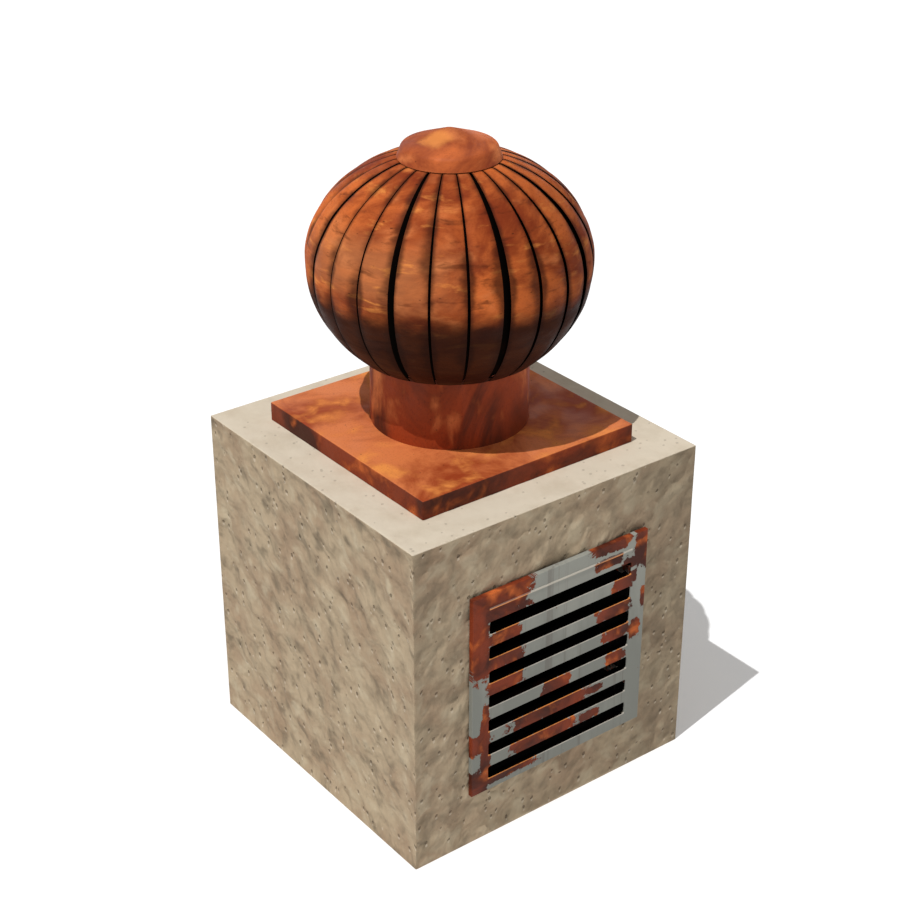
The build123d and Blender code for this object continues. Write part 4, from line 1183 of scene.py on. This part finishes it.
class VENT_OT_throat(bpy.types.Operator):
    """Rolls the throat with its wired top edge"""

    bl_idname = "vent.throat"
    bl_label = "Throat"

    def execute(self, context):
        sizes, colours = settings(context)
        low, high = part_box("throat")
        pan_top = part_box("base_flashing")[1].z
        bead = sizes.throat_bead
        top = high.z - bead
        bm = turned_shell(self.profile(sizes, low.z, pan_top - sizes.pan_sheet, top), {}, closed=True)
        for vert in bm.verts:
            dent = noise.noise(vert.co * THROAT_DENTS)
            above = clamp((vert.co.z - pan_top) / sizes.throat_fade)
            under = clamp((top - 2 * bead - vert.co.z) / sizes.throat_fade)
            away = Vector((vert.co.x, vert.co.y, 0)).normalized()
            vert.co -= away * (sizes.throat_dent * above * under * (0.5 + 0.5 * dent))
        middle = sizes.throat_radius - sizes.throat_sheet / 2
        # The inner faces take the painted shade material
        for face in bm.faces:
            centre = face.calc_center_median()
            away = Vector((centre.x, centre.y, 0))
            inward = face.normal.dot(away) < 0 and away.length < middle
            face.material_index = 1 if inward else 0
        tones = (colours.rust_dark, colours.rust_red, colours.rust_clear)
        rust = sheet_rust_material("throat_rust", colours, tones, 7.0, -0.03, (1, 1, 0.6))
        materials = [rust, inside_shade_material(colours)]
        finish_piece(bm, "throat_duct", "base", ["throat"], materials)
        return {"FINISHED"}

    def profile(self, sizes, foot, under, top):
        """Outline of the throat's sheet, with its flange under the pan and its wired edge."""
        bead, sheet = sizes.throat_bead, sizes.throat_sheet
        outer, inner = sizes.throat_radius, sizes.throat_radius - sheet
        flange = outer + sizes.throat_flange
        points = [(outer, foot), (outer, under - sheet), (flange, under - sheet), (flange, under)]
        rise = top - bead - under
        points += [(outer, under + rise * ring / THROAT_RINGS) for ring in range(THROAT_RINGS + 1)]
        bead_steps, bead_start = 12, 0.35
        for step in range(1, bead_steps):
            angle = -pi / 2 + bead_start + (2 * pi - 2 * bead_start) * step / bead_steps
            points.append(((outer + inner) / 2 + bead * cos(angle), top + bead * sin(angle)))
        return points + [(inner, top - bead), (inner, under), (inner, foot)]


class VENT_OT_vanes(bpy.types.Operator):
    """Presses the rotor's vanes"""

    bl_idname = "vent.vanes"
    bl_label = "Rotor vanes"

    def execute(self, context):
        sizes, colours = settings(context)
        form = RotorForm(sizes)
        materials = [vane_material(colours), inside_shade_material(colours)]
        for number, node in enumerate(VANE_NODES):
            bm = vane_mesh(sizes, form, number)
            finish_piece(bm, f"{node}_blade", "rotor", [node], materials, 30)
        return {"FINISHED"}


class VENT_OT_ring(bpy.types.Operator):
    """Rolls the ring under the vanes"""

    bl_idname = "vent.ring"
    bl_label = "Bottom ring"

    def execute(self, context):
        sizes, colours = settings(context)
        form = RotorForm(sizes)
        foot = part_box("bottom_ring")[0].z
        offset = (sizes.vane_sheet + sizes.ring_sheet) / 2 + sizes.sheet_gap
        knee = sizes.mouth_radius + offset * form.mouth_up + sizes.ring_lip * form.mouth_out
        reach = sizes.ring_lip + sizes.ring_lap
        points = [
            (sizes.throat_radius + sizes.ring_gap, foot),
            (knee, foot),
            (knee - reach * form.mouth_out, foot - reach * form.mouth_up),
        ]
        bm = turned_shell(points, {1: sizes.ring_bend})
        thicken(bm, sizes.ring_sheet, lambda face: -face.normal.z)
        tones = (colours.rust_black, colours.rust_dark, colours.rust_deep)
        material = sheet_rust_material("ring_rust", colours, tones, 10.0, -0.02)
        finish_piece(bm, "rotor_ring", "rotor", ["bottom_ring"], [material])
        return {"FINISHED"}


class VENT_OT_cap(bpy.types.Operator):
    """Spins the cap"""

    bl_idname = "vent.cap"
    bl_label = "Cap"

    def execute(self, context):
        sizes, colours = settings(context)
        low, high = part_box("cap")
        rim = high.x
        points = [
            (0, high.z),
            (sizes.cap_flat, high.z),
            (rim - sizes.cap_taper, low.z + sizes.cap_skirt),
            (rim, low.z),
        ]
        bm = turned_shell(points, {1: sizes.cap_bend, 2: sizes.cap_bend})
        thicken(bm, sizes.cap_sheet, lambda face: face.normal.z)
        tones = (colours.rust_deep, colours.rust_warm, colours.rust_clear)
        # Painted highlight near the cap's tip
        highlight = Vector((0, 0, high.z)) + Vector(HIGHLIGHT_PLACE)
        material = sheet_rust_material("cap_rust", colours, tones, 5.0, -0.04, (1, 1, 1.6), highlight=highlight)
        finish_piece(bm, "rotor_cap", "rotor", ["cap"], [material])
        return {"FINISHED"}


class VENT_OT_inner_parts(bpy.types.Operator):
    """Finishes the inner steel, the fasteners, the bearing and the bush"""

    bl_idname = "vent.inner_parts"
    bl_label = "Inner parts"

    def execute(self, context):
        colours = context.scene.vent_colours
        dull, deep, warm = colours.steel_dull, colours.rust_deep, colours.concrete_warm
        finishes = {
            "inner_steel": metal_material("inner_steel", dull, deep, 0.16, 0.6, 0.45),
            "fastener_steel": metal_material("fastener_zinc", colours.zinc, deep, 0.08, 0.7, 0.35),
            "bearing_steel": metal_material("bearing_steel", colours.bearing, dull, 0.0, 1.0, 0.12),
            "bush_nylon": metal_material("bush_nylon", colours.nylon, warm, 0.02, 0.0, 0.5),
        }
        for row in frame["record"]["subparts"]:
            if row["material_slot"] in finishes:
                mesh = frame["nodes"][row["node"]].data
                mesh.materials.clear()
                mesh.materials.append(finishes[row["material_slot"]])
        return {"FINISHED"}


OPERATORS = (
    VENT_OT_stage,
    VENT_OT_upstand,
    VENT_OT_grille,
    VENT_OT_flashing,
    VENT_OT_throat,
    VENT_OT_vanes,
    VENT_OT_ring,
    VENT_OT_cap,
    VENT_OT_inner_parts,
)


class VENT_PT_pieces(bpy.types.Panel):
    """Lists the vent's pieces"""

    bl_label = "Turbine roof vent"
    bl_idname = "VENT_PT_pieces"
    bl_space_type = "VIEW_3D"
    bl_region_type = "UI"
    bl_category = "Vent"

    def draw(self, context):
        for operator in OPERATORS:
            self.layout.operator(operator.bl_idname)


CLASSES = (VentSizes, VentColours, *OPERATORS, VENT_PT_pieces)


def register():
    for item in CLASSES:
        bpy.utils.register_class(item)
    bpy.types.Scene.vent_sizes = bpy.props.PointerProperty(type=VentSizes)
    bpy.types.Scene.vent_colours = bpy.props.PointerProperty(type=VentColours)


def unregister():
    del bpy.types.Scene.vent_colours
    del bpy.types.Scene.vent_sizes
    for item in reversed(CLASSES):
        bpy.utils.unregister_class(item)


def main():
    register()
    bpy.ops.vent.stage()
    bpy.ops.vent.upstand()
    bpy.ops.vent.grille()
    bpy.ops.vent.flashing()
    bpy.ops.vent.throat()
    bpy.ops.vent.vanes()
    bpy.ops.vent.ring()
    bpy.ops.vent.cap()
    bpy.ops.vent.inner_parts()


if __name__ == "__main__":
    main()
